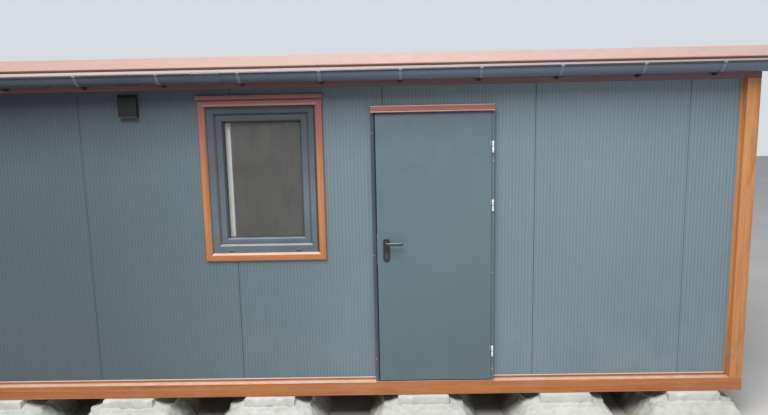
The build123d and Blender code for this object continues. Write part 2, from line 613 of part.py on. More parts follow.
with BuildPart() as door_hinge_knuckles:
    for cz in HINGE_Z:
        z0, zm, z1 = cz - HINGE_H / 2, cz, cz + HINGE_H / 2
        with BuildSketch(hinge_axis(zm + 0.6)):
            Circle(HINGE_R)
        extrude(amount=z1 - zm - 0.6)
        block(HINGE_X - 24, HINGE_X, LEAF_Y0 - 3.5, LEAF_Y0, zm + 3, z1 - 2)
        with BuildSketch(hinge_axis(zm - 1)):
            Circle(BORE_R)
        extrude(amount=z1 - zm - 2, mode=Mode.SUBTRACT)
save(door_hinge_knuckles, "door_hinge_knuckles")

with BuildPart() as door_leaf:
    block(LEAF_X0, LEAF_X1, LEAF_Y0, LEAF_Y1, LEAF_Z0, LEAF_Z1)
    with BuildSketch(upright(LEAF_Y0 - 1)):
        Circle(9)
    extrude(amount=LEAF_Y1 - LEAF_Y0 + 2, mode=Mode.SUBTRACT)
save(door_leaf, "door_leaf")

NECK_R = 8.0
with BuildPart() as handle_plates:
    for y0, y1 in ((LEAF_Y0 - 8, LEAF_Y0), (LEAF_Y1, LEAF_Y1 + 8)):
        with BuildSketch(facing(y1)):
            with Locations(((PLATE_X0 + PLATE_X1) / 2, (PLATE_Z0 + PLATE_Z1) / 2)):
                RectangleRounded(PLATE_X1 - PLATE_X0, PLATE_Z1 - PLATE_Z0, 14)
        extrude(amount=y1 - y0)
    with BuildSketch(upright(LEAF_Y0 - 10)):
        Circle(NECK_R + 0.06)
    extrude(amount=LEAF_Y1 - LEAF_Y0 + 20, mode=Mode.SUBTRACT)
save(handle_plates, "handle_plates")

LEVER_LEN = 128.0
with BuildPart() as door_lever:
    for y0, y1 in ((LEAF_Y0 - 46, LEAF_Y0 - 2), (LEAF_Y1 + 2, LEAF_Y1 + 46)):
        with BuildSketch(upright(y0)):
            Circle(NECK_R)
        extrude(amount=y1 - y0)
    with BuildSketch(upright(LEAF_Y0 - 10)):
        Circle(5)
    extrude(amount=LEAF_Y1 - LEAF_Y0 + 20)
    for y0 in (LEAF_Y0 - 56, LEAF_Y1 + 44):
        with BuildSketch(facing(y0 + 12)):
            with Locations((LEVER_X + LEVER_LEN / 2 - 5, LEVER_Z)):
                RectangleRounded(LEVER_LEN + 10, 22, 10.5)
        extrude(amount=12)
save(door_lever, "door_lever")
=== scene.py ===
import math
import bpy
import bmesh
import numpy as np
from mathutils import Matrix, Vector, noise


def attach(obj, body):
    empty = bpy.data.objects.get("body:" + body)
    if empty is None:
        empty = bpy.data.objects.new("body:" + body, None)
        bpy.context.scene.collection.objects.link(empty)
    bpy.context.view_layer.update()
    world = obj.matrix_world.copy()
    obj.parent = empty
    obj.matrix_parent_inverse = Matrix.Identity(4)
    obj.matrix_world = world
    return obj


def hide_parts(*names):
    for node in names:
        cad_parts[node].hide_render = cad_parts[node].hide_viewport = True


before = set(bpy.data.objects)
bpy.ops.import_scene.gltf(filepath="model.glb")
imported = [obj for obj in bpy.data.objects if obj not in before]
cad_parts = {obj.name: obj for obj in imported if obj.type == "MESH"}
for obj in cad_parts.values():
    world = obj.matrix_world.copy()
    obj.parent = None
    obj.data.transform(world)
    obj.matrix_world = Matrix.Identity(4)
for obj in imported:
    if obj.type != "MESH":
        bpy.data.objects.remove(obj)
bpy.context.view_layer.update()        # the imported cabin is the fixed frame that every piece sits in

# Everything below is written in millimetres in the wall frame: X to the right,
# Y from the front wall's outer face into the house, Z up from the ground. The
# row frame is in metres, with its Y measured from the middle of the house.
Y_MID = 1220.0
DEPTH = 2440.0
WALL_T = 100.0
XW, XC, XR = 3098.0, 3148.0, 3375.0
SEAMS = [-1936.0 + 1150.0 * k for k in range(5)]
SIDE_SEAMS = [645.0, 1795.0]
ROOF_SEAMS = [-2300.0, -1150.0, 0.0, 1150.0, 2300.0]
SLOPE = math.tan(math.radians(5.0))
ROOF_TV = 100.0 / math.cos(math.radians(5.0))
E0, ROOF_BACK = -80.0, 2520.0
STRIP_Z0, FOLD_Y, STRIP_Z1 = 2838.0, 33.0, 2920.0      # the steep strip along the eave, from E0 up to the fold
STRIP_SLOPE = (STRIP_Z1 - STRIP_Z0) / (FOLD_Y - E0)
CAP_BACK = 100.0
FOOT_X = [-2762.0, -1707.0, -577.0, 645.0, 1763.0, 2766.0]
BEAM_TOP, LEDGE_Z, UPSTAND_Z = 366.0, 371.5, 397.0
FASCIA_Z = 2679.0
GUT_FALL = math.atan(14.0 / 6500.0)


def roof_top(y):
    return 2916.8 + SLOPE * (y - FOLD_Y)


def strip_top(y):
    return STRIP_Z0 + STRIP_SLOPE * (y - E0)


def roof_under(y):
    return roof_top(y) - ROOF_TV


def wall_top(y):
    return roof_under(y) - 0.5


# ------------------------------------------------------------------ mesh code
class Soup:
    """Points in wall-frame millimetres, faces and a material number for each face."""

    def __init__(self):
        self.v, self.f, self.m = [], [], []

    def add(self, verts, faces, mat=0):
        o = len(self.v)
        self.v.extend(tuple(float(c) for c in p) for p in verts)
        for f in faces:
            self.f.append([i + o for i in f])
            self.m.append(mat)
        return self

    def moved(self, fn):
        self.v = [fn(p) for p in self.v]
        return self

    def take(self, other, mat=None, fn=None):
        pts = other.v if fn is None else [fn(p) for p in other.v]
        o = len(self.v)
        self.v.extend(pts)
        for f, m in zip(other.f, other.m):
            self.f.append([i + o for i in f])
            self.m.append(m if mat is None else mat)
        return self


def make(name, soup, mats, body="house", stands=(), angle=30.0, weld=0.00001):
    """Turns a soup into a piece that rides on a body and stands for CAD nodes."""
    mesh = bpy.data.meshes.new(name)
    mesh.from_pydata([(x / 1000.0, (y - Y_MID) / 1000.0, z / 1000.0) for x, y, z in soup.v], [], soup.f)
    for m in mats:
        mesh.materials.append(m)
    mesh.polygons.foreach_set("material_index", soup.m)
    bm = bmesh.new()
    bm.from_mesh(mesh)
    if weld:
        bmesh.ops.remove_doubles(bm, verts=bm.verts, dist=weld)
    bmesh.ops.recalc_face_normals(bm, faces=bm.faces)
    bm.to_mesh(mesh)
    bm.free()
    mesh.validate(verbose=False)
    mesh.shade_smooth()
    mesh.set_sharp_from_angle(angle=math.radians(angle))
    o = bpy.data.objects.new(name, mesh)
    bpy.context.scene.collection.objects.link(o)
    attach(o, body)
    if stands:
        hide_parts(*stands)
    return o


def rbox(s, x0, x1, y0, y1, z0, z1, r=1.0, n=2, mat=0):
    """A box with rounded edges."""
    r = min(r, 0.49 * min(x1 - x0, y1 - y0, z1 - z0))
    bm = bmesh.new()
    bmesh.ops.create_cube(bm, size=1.0)
    for v in bm.verts:
        v.co = Vector((x0 + (v.co.x + 0.5) * (x1 - x0), y0 + (v.co.y + 0.5) * (y1 - y0), z0 + (v.co.z + 0.5) * (z1 - z0)))
    bmesh.ops.bevel(bm, geom=list(bm.edges), offset=r, segments=n, profile=0.5, affect="EDGES")
    bm.verts.index_update()
    s.add([v.co[:] for v in bm.verts], [[v.index for v in f.verts] for f in bm.faces], mat)
    bm.free()


def fillet(pts, r, n=5, closed=False):
    """Rounds the corners of a 2-D line. r is one radius, or one for each point."""
    rs = list(r) if hasattr(r, "__len__") else [r] * len(pts)
    out = []
    count = len(pts)
    for i, p in enumerate(pts):
        if not closed and i in (0, count - 1) or rs[i] <= 0:
            out.append(tuple(p))
            continue
        a, b, c = np.array(pts[i - 1], float), np.array(p, float), np.array(pts[(i + 1) % count], float)
        u, v = a - b, c - b
        lu, lv = np.linalg.norm(u), np.linalg.norm(v)
        u, v = u / lu, v / lv
        cosang = float(np.clip(u @ v, -1, 1))
        half = math.acos(cosang) / 2
        if half > math.pi / 2 - 0.03:
            out.append(tuple(p))
            continue
        cut = min(rs[i] / math.tan(half), 0.49 * lu, 0.49 * lv)
        rad = cut * math.tan(half)
        centre = b + (u + v) / np.linalg.norm(u + v) * (rad / math.sin(half))
        p0, p1 = b + u * cut, b + v * cut
        a0 = math.atan2(*(p0 - centre)[::-1])
        a1 = math.atan2(*(p1 - centre)[::-1])
        d = (a1 - a0 + math.pi) % (2 * math.pi) - math.pi
        for k in range(n + 1):
            t = a0 + d * k / n
            out.append((centre[0] + rad * math.cos(t), centre[1] + rad * math.sin(t)))
    return out


def sheet_outline(pts, t, r=2.0, n=4):
    """Closed outline of a folded sheet t thick, whose outer face runs along pts and whose body lies to the left of them."""
    line = np.array(fillet(pts, r, n), float)
    d = np.diff(line, axis=0)
    d /= np.linalg.norm(d, axis=1)[:, None]
    nrm = np.stack([-d[:, 1], d[:, 0]], 1)
    out = []
    for i in range(len(line)):
        if i == 0:
            m = nrm[0]
        elif i == len(line) - 1:
            m = nrm[-1]
        else:
            m = nrm[i - 1] + nrm[i]
            m = m / max(1e-9, np.linalg.norm(m))
            m = m / max(0.35, float(m @ nrm[i]))
        out.append(line[i] + m * t)
    return [tuple(p) for p in line] + [tuple(p) for p in out[::-1]]


def prism(s, pts, axis, a0, a1, mat=0, segs=1, caps=True):
    """A closed outline run along an axis. a0 and a1 are numbers or functions of the outline's point."""
    n = len(pts)
    put = {"x": lambda a, u, v: (a, u, v), "y": lambda a, u, v: (u, a, v), "z": lambda a, u, v: (u, v, a)}[axis]
    f0 = a0 if callable(a0) else (lambda u, v: a0)
    f1 = a1 if callable(a1) else (lambda u, v: a1)
    verts, faces = [], []
    for k in range(segs + 1):
        t = k / segs
        for u, v in pts:
            verts.append(put(f0(u, v) * (1 - t) + f1(u, v) * t, u, v))
    for k in range(segs):
        for i in range(n):
            j = (i + 1) % n
            faces.append([k * n + i, k * n + j, (k + 1) * n + j, (k + 1) * n + i])
    if caps:
        faces.append(list(range(n)))
        faces.append([segs * n + i for i in range(n)])
    s.add(verts, faces, mat)


def mitred(s, x0, x1, z0, z1, prof, g=0.15, mat=0, sides="BTLR", kb=1.0, kt=1.0):
    """Four members of a frame in the wall's plane, mitred at the corners. prof is a closed outline of (inset, y); kb and kt scale the inset below and above."""
    n = len(prof)
    for side in sides:
        verts = []
        for end in (0, 1):
            for o, y in prof:
                if side in "BT":
                    x = x0 + o + g if end == 0 else x1 - o - g
                    z = z0 + o * kb if side == "B" else z1 - o * kt
                else:
                    z = z0 + o * kb + g if end == 0 else z1 - o * kt - g
                    x = x0 + o if side == "L" else x1 - o
                verts.append((x, y, z))
        faces = [[i, (i + 1) % n, n + (i + 1) % n, n + i] for i in range(n)]
        faces += [list(range(n)), [n + i for i in range(n)]]
        s.add(verts, faces, mat)


def ring_sweep(s, x0, x1, z0, z1, prof, mat=0, kb=1.0, kt=1.0):
    """One closed ring round a rectangle, without joints at the corners."""
    n = len(prof)
    verts, faces = [], []
    for cx, cz in ((x0, z0), (x1, z0), (x1, z1), (x0, z1)):
        sx, sz = (1 if cx == x0 else -1), (1 if cz == z0 else -1)
        verts += [(cx + sx * o, y, cz + sz * o * (kb if sz > 0 else kt)) for o, y in prof]
    for k in range(4):
        for i in range(n):
            j = (i + 1) % n
            faces.append([k * n + i, k * n + j, ((k + 1) % 4) * n + j, ((k + 1) % 4) * n + i])
    s.add(verts, faces, mat)


def basis(d):
    d = Vector(d).normalized()
    a = Vector((0, 0, 1)) if abs(d.z) < 0.9 else Vector((1, 0, 0))
    u = a.cross(d).normalized()
    return u, d.cross(u), d


def lathe(s, prof, origin, axis, n=20, mat=0, turn=0.0):
    """Turns a profile of (radius, height) about an axis. Points on the axis close it."""
    u, v, d = basis(axis)
    o = Vector(origin)
    verts, rows, faces = [], [], []
    for r, h in prof:
        if r < 1e-6:
            rows.append([len(verts)])
            verts.append((o + d * h)[:])
        else:
            rows.append(list(range(len(verts), len(verts) + n)))
            for k in range(n):
                t = 2 * math.pi * k / n + turn
                verts.append((o + d * h + (u * math.cos(t) + v * math.sin(t)) * r)[:])
    for a, b in zip(rows[:-1], rows[1:]):
        for k in range(n):
            j = (k + 1) % n
            if len(a) == 1 and len(b) == 1:
                continue
            if len(a) == 1:
                faces.append([a[0], b[j], b[k]])
            elif len(b) == 1:
                faces.append([a[k], a[j], b[0]])
            else:
                faces.append([a[k], a[j], b[j], b[k]])
    if len(rows[0]) > 1:
        faces.append(rows[0][::-1])
    if len(rows[-1]) > 1:
        faces.append(rows[-1])
    s.add(verts, faces, mat)


def tube(s, path, radii, n=24, mat=0, inner=None, caps=True):
    """A round tube along a path. With inner it is hollow."""
    pts = [Vector(p) for p in path]
    rs = radii if hasattr(radii, "__len__") else [radii] * len(pts)
    t0 = (pts[1] - pts[0]).normalized()
    u = basis(t0)[0]
    rings, irings, verts, faces = [], [], [], []
    for i, p in enumerate(pts):
        t = (pts[min(i + 1, len(pts) - 1)] - pts[max(i - 1, 0)]).normalized()
        u = (u - t * u.dot(t)).normalized()
        w = t.cross(u)
        rings.append([len(verts) + k for k in range(n)])
        for k in range(n):
            a = 2 * math.pi * k / n
            verts.append((p + (u * math.cos(a) + w * math.sin(a)) * rs[i])[:])
        if inner:
            irings.append([len(verts) + k for k in range(n)])
            for k in range(n):
                a = 2 * math.pi * k / n
                verts.append((p + (u * math.cos(a) + w * math.sin(a)) * (rs[i] - inner))[:])
    for rr, flip in ((rings, False), (irings, True)):
        for a, b in zip(rr[:-1], rr[1:]):
            for k in range(n):
                j = (k + 1) % n
                faces.append([a[k], a[j], b[j], b[k]])
    if inner:
        for e in (0, -1):
            for k in range(n):
                j = (k + 1) % n
                faces.append([rings[e][k], rings[e][j], irings[e][j], irings[e][k]])
    elif caps:
        faces.append(rings[0])
        faces.append(rings[-1])
    s.add(verts, faces, mat)


def rounded(w, h, r, n=8, cx=0.0, cz=0.0):
    """Outline of a rounded rectangle."""
    return fillet([(cx - w / 2, cz - h / 2), (cx + w / 2, cz - h / 2), (cx + w / 2, cz + h / 2), (cx - w / 2, cz + h / 2)], r, n, closed=True)


def plate(s, outline, y_back, y_front, edge=1.5, mat=0, n=3, dome=0.0):
    """A flat plate on the door or wall with a rounded front edge. It faces -Y when y_front is the smaller."""
    c = np.mean(np.array(outline), axis=0)
    pts = np.array(outline, float)
    step = 1 if y_front > y_back else -1
    rows = [(0.0, y_back), (0.0, y_front - step * edge)]
    for k in range(1, n + 1):
        a = math.pi / 2 * k / n
        rows.append((edge * (1 - math.cos(a)), y_front - step * edge + step * edge * math.sin(a)))
    verts, faces = [], []
    m = len(pts)
    nxt = np.roll(pts, -1, 0)
    prv = np.roll(pts, 1, 0)
    tang = nxt - prv
    tang /= np.linalg.norm(tang, axis=1)[:, None] + 1e-9
    nrm = np.stack([-tang[:, 1], tang[:, 0]], 1)
    if np.sum(nrm * (c - pts)) < 0:
        nrm = -nrm
    for inset, y in rows:
        for p, q in zip(pts, nrm):
            x, z = p + q * inset
            verts.append((x, y, z))
    for k in range(len(rows) - 1):
        for i in range(m):
            j = (i + 1) % m
            faces.append([k * m + i, k * m + j, (k + 1) * m + j, (k + 1) * m + i])
    faces.append(list(range(m)))
    last = (len(rows) - 1) * m
    if dome:
        verts.append((c[0], y_front + step * dome, c[1]))
        for i in range(m):
            faces.append([last + i, last + (i + 1) % m, len(verts) - 1])
    else:
        faces.append([last + i for i in range(m)])
    s.add(verts, faces, mat)


def hex_screw(s, at, d, mat_head=0, mat_seal=1, size=8.0, turn=0.3):
    """A self-drilling screw: rubber seal, pressed washer, hexagon head."""
    w = size * 0.95
    lathe(s, [(0, 0), (w * 0.86, 0), (w * 0.9, 0.6), (w * 0.86, 1.3), (0, 1.3)], at, d, 18, mat_seal)
    lathe(s, [(0, 1.2), (w, 1.2), (w, 1.7), (w * 0.6, 2.6), (0, 2.6)], at, d, 20, mat_head)
    lathe(s, [(0, 2.3), (size / 2 / 0.866, 2.3), (size / 2 / 0.866, 6.0), (size * 0.47, 6.9), (0, 7.0)], at, d, 6, mat_head, turn)


def pan_screw(s, at, d, r=4.0, mat=0, slot_mat=None, turn=0.4):
    """A low round-headed screw with a cross recess."""
    lathe(s, [(0, 0), (r, 0), (r, 0.35 * r), (r * 0.8, 0.6 * r), (r * 0.35, 0.72 * r), (0, 0.74 * r)], at, d, 18, mat)
    if slot_mat is not None:
        u, v, dd = basis(d)
        o = Vector(at) + dd * (0.7 * r)
        for k in (0, 1):
            a = turn + k * math.pi / 2
            p, q = (u * math.cos(a) + v * math.sin(a)), (-u * math.sin(a) + v * math.cos(a))
            c = []
            for sp, sq, sd in ((-1, -1, 0), (1, -1, 0), (1, 1, 0), (-1, 1, 0), (-1, -1, 1), (1, -1, 1), (1, 1, 1), (-1, 1, 1)):
                c.append((o + p * sp * r * 0.5 + q * sq * r * 0.1 + dd * (sd * 0.12 * r - 0.06 * r))[:])
            s.add(c, [[0, 1, 2, 3], [4, 5, 6, 7], [0, 1, 5, 4], [1, 2, 6, 5], [2, 3, 7, 6], [3, 0, 4, 7]], slot_mat)


def lump(p, size, seed=0.0):
    return noise.noise(Vector((p[0] / size + seed, p[1] / size - 2.0 * seed, p[2] / size + 3.1 * seed)))


# ------------------------------------------------------------------ materials
def lin(r, g, b):
    """A display colour of 0 to 255 as a linear one."""
    return tuple(((c / 255) / 12.92 if c / 255 <= 0.04045 else ((c / 255 + 0.055) / 1.055) ** 2.4) for c in (r, g, b)) + (1.0,)


def scaled(c, k):
    return tuple(min(1.0, x * k) for x in c[:3]) + (1.0,)


class Mat:
    """One principled material, with short calls for its nodes."""

    def __init__(self, name, rough=0.5, metallic=0.0, spec=0.5, **sockets):
        self.m = bpy.data.materials.new(name)
        self.m.use_nodes = True
        self.t = self.m.node_tree
        self.t.nodes.clear()
        out = self.t.nodes.new("ShaderNodeOutputMaterial")
        self.b = self.t.nodes.new("ShaderNodeBsdfPrincipled")
        self.t.links.new(self.b.outputs[0], out.inputs[0])
        self.b.inputs["Roughness"].default_value = rough
        self.b.inputs["Metallic"].default_value = metallic
        self.b.inputs["Specular IOR Level"].default_value = spec
        for k, v in sockets.items():
            self.b.inputs[k.replace("_", " ")].default_value = v
        self.co = self.t.nodes.new("ShaderNodeTexCoord").outputs["Object"]

    def link(self, a, b):
        self.t.links.new(a, b)

    def put(self, sock, val):
        if hasattr(val, "is_linked") or isinstance(val, bpy.types.NodeSocket):
            self.link(val, sock)
        else:
            sock.default_value = val

    def scale(self, s, vec=None, loc=(0, 0, 0), rot=(0, 0, 0)):
        n = self.t.nodes.new("ShaderNodeMapping")
        self.link(vec or self.co, n.inputs["Vector"])
        n.inputs["Scale"].default_value = s if hasattr(s, "__len__") else (s, s, s)
        n.inputs["Location"].default_value = loc
        n.inputs["Rotation"].default_value = rot
        return n.outputs[0]

    def noise(self, s, detail=3.0, rough=0.5, dist=0.0, loc=(0, 0, 0), vec=None):
        n = self.t.nodes.new("ShaderNodeTexNoise")
        self.link(self.scale(s, vec, loc), n.inputs["Vector"])
        n.inputs["Scale"].default_value = 1.0
        n.inputs["Detail"].default_value = detail
        n.inputs["Roughness"].default_value = rough
        n.inputs["Distortion"].default_value = dist
        return n.outputs[0]

    def voronoi(self, s, feature="F1", rand=1.0, loc=(0, 0, 0)):
        n = self.t.nodes.new("ShaderNodeTexVoronoi")
        n.feature = feature
        self.link(self.scale(s, None, loc), n.inputs["Vector"])
        n.inputs["Scale"].default_value = 1.0
        n.inputs["Randomness"].default_value = rand
        return n.outputs["Distance"]

    def axis(self, which):
        n = self.t.nodes.new("ShaderNodeSeparateXYZ")
        self.link(self.co, n.inputs[0])
        return n.outputs["XYZ".index(which)]

    def normal_z(self):
        g = self.t.nodes.new("ShaderNodeNewGeometry")
        n = self.t.nodes.new("ShaderNodeSeparateXYZ")
        self.link(g.outputs["Normal"], n.inputs[0])
        return n.outputs[2]

    def math(self, op, a, b=0.0, clamp=False):
        n = self.t.nodes.new("ShaderNodeMath")
        n.operation = op
        n.use_clamp = clamp
        self.put(n.inputs[0], a)
        self.put(n.inputs[1], b)
        return n.outputs[0]

    def span(self, v, a, b, c=0.0, d=1.0, smooth=False):
        n = self.t.nodes.new("ShaderNodeMapRange")
        n.interpolation_type = "SMOOTHSTEP" if smooth else "LINEAR"
        n.clamp = True
        self.put(n.inputs["Value"], v)
        for k, x in zip(("From Min", "From Max", "To Min", "To Max"), (a, b, c, d)):
            n.inputs[k].default_value = x
        return n.outputs[0]

    def mix(self, f, a, b, mode="MIX"):
        n = self.t.nodes.new("ShaderNodeMix")
        n.data_type = "RGBA"
        n.blend_type = mode
        self.put(n.inputs[0], f)
        self.put(n.inputs[6], a)
        self.put(n.inputs[7], b)
        return n.outputs[2]

    def ramp(self, f, stops):
        n = self.t.nodes.new("ShaderNodeValToRGB")
        e = n.color_ramp.elements
        e[0].position, e[0].color = stops[0]
        e[1].position, e[1].color = stops[-1]
        for p, c in stops[1:-1]:
            x = e.new(p)
            x.color = c
        self.put(n.inputs[0], f)
        return n.outputs[0]

    def bump(self, h, dist=0.001, strength=1.0, normal=None):
        n = self.t.nodes.new("ShaderNodeBump")
        n.inputs["Strength"].default_value = strength
        n.inputs["Distance"].default_value = dist
        self.link(h, n.inputs["Height"])
        if normal is not None:
            self.link(normal, n.inputs["Normal"])
        return n.outputs[0]

    def done(self, color=None, rough=None, normal=None):
        if color is not None:
            self.put(self.b.inputs["Base Color"], color)
        if rough is not None:
            self.put(self.b.inputs["Roughness"], rough)
        if normal is not None:
            self.put(self.b.inputs["Normal"], normal)
        return self.m


def coated(name, base, rough=0.42, spread=0.10, streak=0.10, dust=0.25, dust_col=(0.42, 0.40, 0.37, 1), dust_top=1.2, wave=0.35, spec=0.5, peel=0.10, streak_axis="z", low_dirt=0.35, top_dust_and_sheen=0.0, eave=0.0, left=1.0):
    """Coil-coated or painted steel: slow colour drift, rain streaks, dust towards the ground, orange peel and slightly
    uneven sheet; it can also paint shade towards the left and close under the eave, and lighten what faces up with dust
    and painted sky sheen.
    """
    g = Mat(name, rough=rough, spec=spec)
    big = g.noise(0.9, 3, 0.55, 0.3)
    mid = g.noise(7.0, 4, 0.6)
    fine = g.noise(160.0, 2, 0.5)
    c = g.mix(g.span(big, 0.3, 0.7), scaled(base, 1 - spread), scaled(base, 1 + spread))
    c = g.mix(g.span(mid, 0.35, 0.7, 0.0, 0.35), c, scaled(base, 1 + 2.2 * spread))
    run = {"z": (34.0, 34.0, 0.9), "x": (0.9, 34.0, 34.0), "y": (34.0, 0.9, 34.0)}[streak_axis]
    st = g.noise(run, 4, 0.6, 0.15)
    c = g.mix(g.span(st, 0.52, 0.72, 0.0, streak), c, dust_col)
    c = g.mix(g.span(st, 0.46, 0.30, 0.0, streak * 0.8), c, scaled(base, 0.72))
    z = g.axis("Z")
    low = g.math("MULTIPLY", g.span(z, dust_top, 0.36, 0.0, low_dirt, True), g.span(g.noise((5, 5, 3), 5, 0.65), 0.35, 0.75))
    c = g.mix(low, c, dust_col)
    speck = g.span(g.noise(420.0, 1, 0.5), 0.66, 0.74, 0.0, dust)
    c = g.mix(speck, c, dust_col)
    # what faces up is lightened towards dust_col: partly dust, partly painted sky sheen
    if top_dust_and_sheen:
        up = g.math("MULTIPLY", g.span(g.normal_z(), 0.25, 0.9, 0.0, 1.0, True), g.span(g.noise(11.0, 5, 0.65), 0.25, 0.8, 0.3 * top_dust_and_sheen, top_dust_and_sheen))
        c = g.mix(up, c, dust_col)
    if left != 1.0:
        # painted shade: on the front the coat is darker towards the left
        left_shade = g.math("MULTIPLY", g.span(g.axis("X"), -2.2, 0.9, 1.0, 0.0, True), g.span(g.axis("Y"), -1.1, 0.4, 1.0, 0.0, True))
        c = g.mix(left_shade, c, scaled(base, left))
    if eave:
        # painted shade: darker close under the eave, and more of it at the left
        eave_shade = g.math("MULTIPLY", g.span(z, 2.02, 2.70, 0.0, eave, True), g.span(g.axis("X"), -3.2, 1.6, 1.0, 0.24))
        c = g.mix(eave_shade, c, (0.019, 0.017, 0.028, 1))
    r = g.span(mid, 0.3, 0.75, rough - 0.06, rough + 0.10)
    r = g.math("ADD", r, g.span(fine, 0.3, 0.7, -0.02, 0.03), clamp=True)
    n = g.bump(g.noise(0.7 if streak_axis != "z" else (1.6, 1.6, 0.8), 2, 0.5), 0.03, wave)
    n = g.bump(g.noise(900.0, 2, 0.5), 0.0002, peel, n)
    return g.done(c, r, n)


def oak_foil(name, axis, tint=(1.0, 1.0, 1.0)):
    """Wood-grain film on sheet steel, golden oak: long soft bands, fine dark fibres, short pores, satin lacquer."""
    g = Mat(name, rough=0.42, spec=0.5)
    i = "xyz".index(axis)

    def along(l, c):
        return tuple(l if k == i else c for k in range(3))

    warp = g.noise(along(1.1, 9.0), 2, 0.5, 0.6)
    band = g.noise(along(0.55, 26.0), 5, 0.6, 0.9)
    fibre = g.noise(along(2.2, 230.0), 3, 0.6, 0.25)
    pore = g.noise(along(16.0, 950.0), 2, 0.5)
    knot = g.noise(along(1.4, 7.0), 3, 0.5, 1.4, (3.1, 1.7, 0.4))
    dark, mid, light, warm = [tuple(a * b for a, b in zip(o, tint)) + (1,) for o in (OAK_DARK, OAK_MID, OAK_LIGHT, OAK_WARM)]
    c = g.ramp(band, [(0.25, dark), (0.42, mid), (0.58, light), (0.75, mid)])
    c = g.mix(g.span(warp, 0.35, 0.7, 0.0, 0.40), c, warm)
    c = g.mix(g.span(knot, 0.60, 0.78, 0.0, 0.45), c, OAK_DARK)
    c = g.mix(g.span(fibre, 0.50, 0.68, 0.0, 0.34), c, scaled(OAK_DARK, 0.8))
    c = g.mix(g.span(fibre, 0.44, 0.28, 0.0, 0.22), c, scaled(OAK_LIGHT, 1.25))
    c = g.mix(g.span(pore, 0.60, 0.70, 0.0, 0.55), c, scaled(OAK_DARK, 0.45))
    dirt = g.span(g.noise(3.0, 5, 0.65), 0.52, 0.82, 0.0, 0.22)
    c = g.mix(dirt, c, (0.40, 0.34, 0.28, 1))
    # painted shade: close under the eave, left of the corner, the film is darkened and reddened
    eave_shade = g.math("MULTIPLY", g.span(g.axis("Z"), 1.90, 2.55, 0.0, 0.94, True), g.span(g.axis("X"), 1.6, 2.6, 1.0, 0.0))
    c = g.mix(eave_shade, c, g.mix(g.span(fibre, 0.35, 0.65), (0.215, 0.080, 0.078, 1), (0.155, 0.056, 0.055, 1)))
    # what faces up is lightened: partly dust, partly painted sky light
    up = g.math("MULTIPLY", g.span(g.normal_z(), 0.4, 0.95, 0.0, 1.0, True), g.span(g.noise(14.0, 5, 0.6), 0.25, 0.8, 0.40, 0.85))
    c = g.mix(up, c, (0.60, 0.48, 0.41, 1))
    r = g.math("ADD", g.span(band, 0.3, 0.7, 0.34, 0.44), g.span(pore, 0.58, 0.7, 0.0, 0.16), clamp=True)
    n = g.bump(g.noise(1.2, 2, 0.5), 0.02, 0.25)
    n = g.bump(pore, 0.0003, -0.35, n)
    n = g.bump(fibre, 0.0002, 0.18, n)
    return g.done(c, r, n)


def plastic(name, base, rough=0.38, dust=0.3, spec=0.5, grain=420.0, depth=0.0002, strength=0.12, dust_col=(0.36, 0.35, 0.33, 1), up_dust=0.35, run="x", right=1.0, eave=0.0):
    """Moulded or extruded plastic: faint draw lines, dust on what faces up, scuffs; it can also paint light towards the
    right and shade close under the eave.
    """
    g = Mat(name, rough=rough, spec=spec)
    big = g.noise(2.2, 4, 0.6)
    draw = g.noise({"x": (0.7, 240.0, 240.0), "z": (240.0, 240.0, 0.7), "n": (60.0, 60.0, 60.0)}[run], 2, 0.5)
    c = g.mix(g.span(big, 0.3, 0.72), scaled(base, 0.86), scaled(base, 1.16))
    c = g.mix(g.span(draw, 0.45, 0.7, 0.0, 0.14), c, scaled(base, 1.7))
    if right != 1.0:
        # painted light: lighter towards the right
        c = g.mix(g.span(g.axis("X"), -1.8, 1.2, 0.0, 1.0, True), c, scaled(base, right))
    spots = g.span(g.noise(75.0, 4, 0.65), 0.60, 0.74, 0.0, dust)
    c = g.mix(spots, c, dust_col)
    if eave:
        # painted shade: darker close under the eave
        c = g.mix(g.span(g.axis("Z"), 1.75, 2.60, 0.0, eave, True), c, (0.018, 0.020, 0.026, 1))
    up = g.math("MULTIPLY", g.span(g.normal_z(), 0.2, 0.95, 0.0, 1.0, True), g.span(g.noise(16.0, 5, 0.6), 0.25, 0.8, up_dust * 0.35, up_dust))
    c = g.mix(up, c, dust_col)
    r = g.math("ADD", g.span(big, 0.3, 0.7, rough - 0.05, rough + 0.1), g.math("MULTIPLY", spots, 0.4), clamp=True)
    n = g.bump(g.noise(grain, 2, 0.5), depth, strength)
    n = g.bump(draw, 0.0003, 0.12, n)
    return g.done(c, r, n)


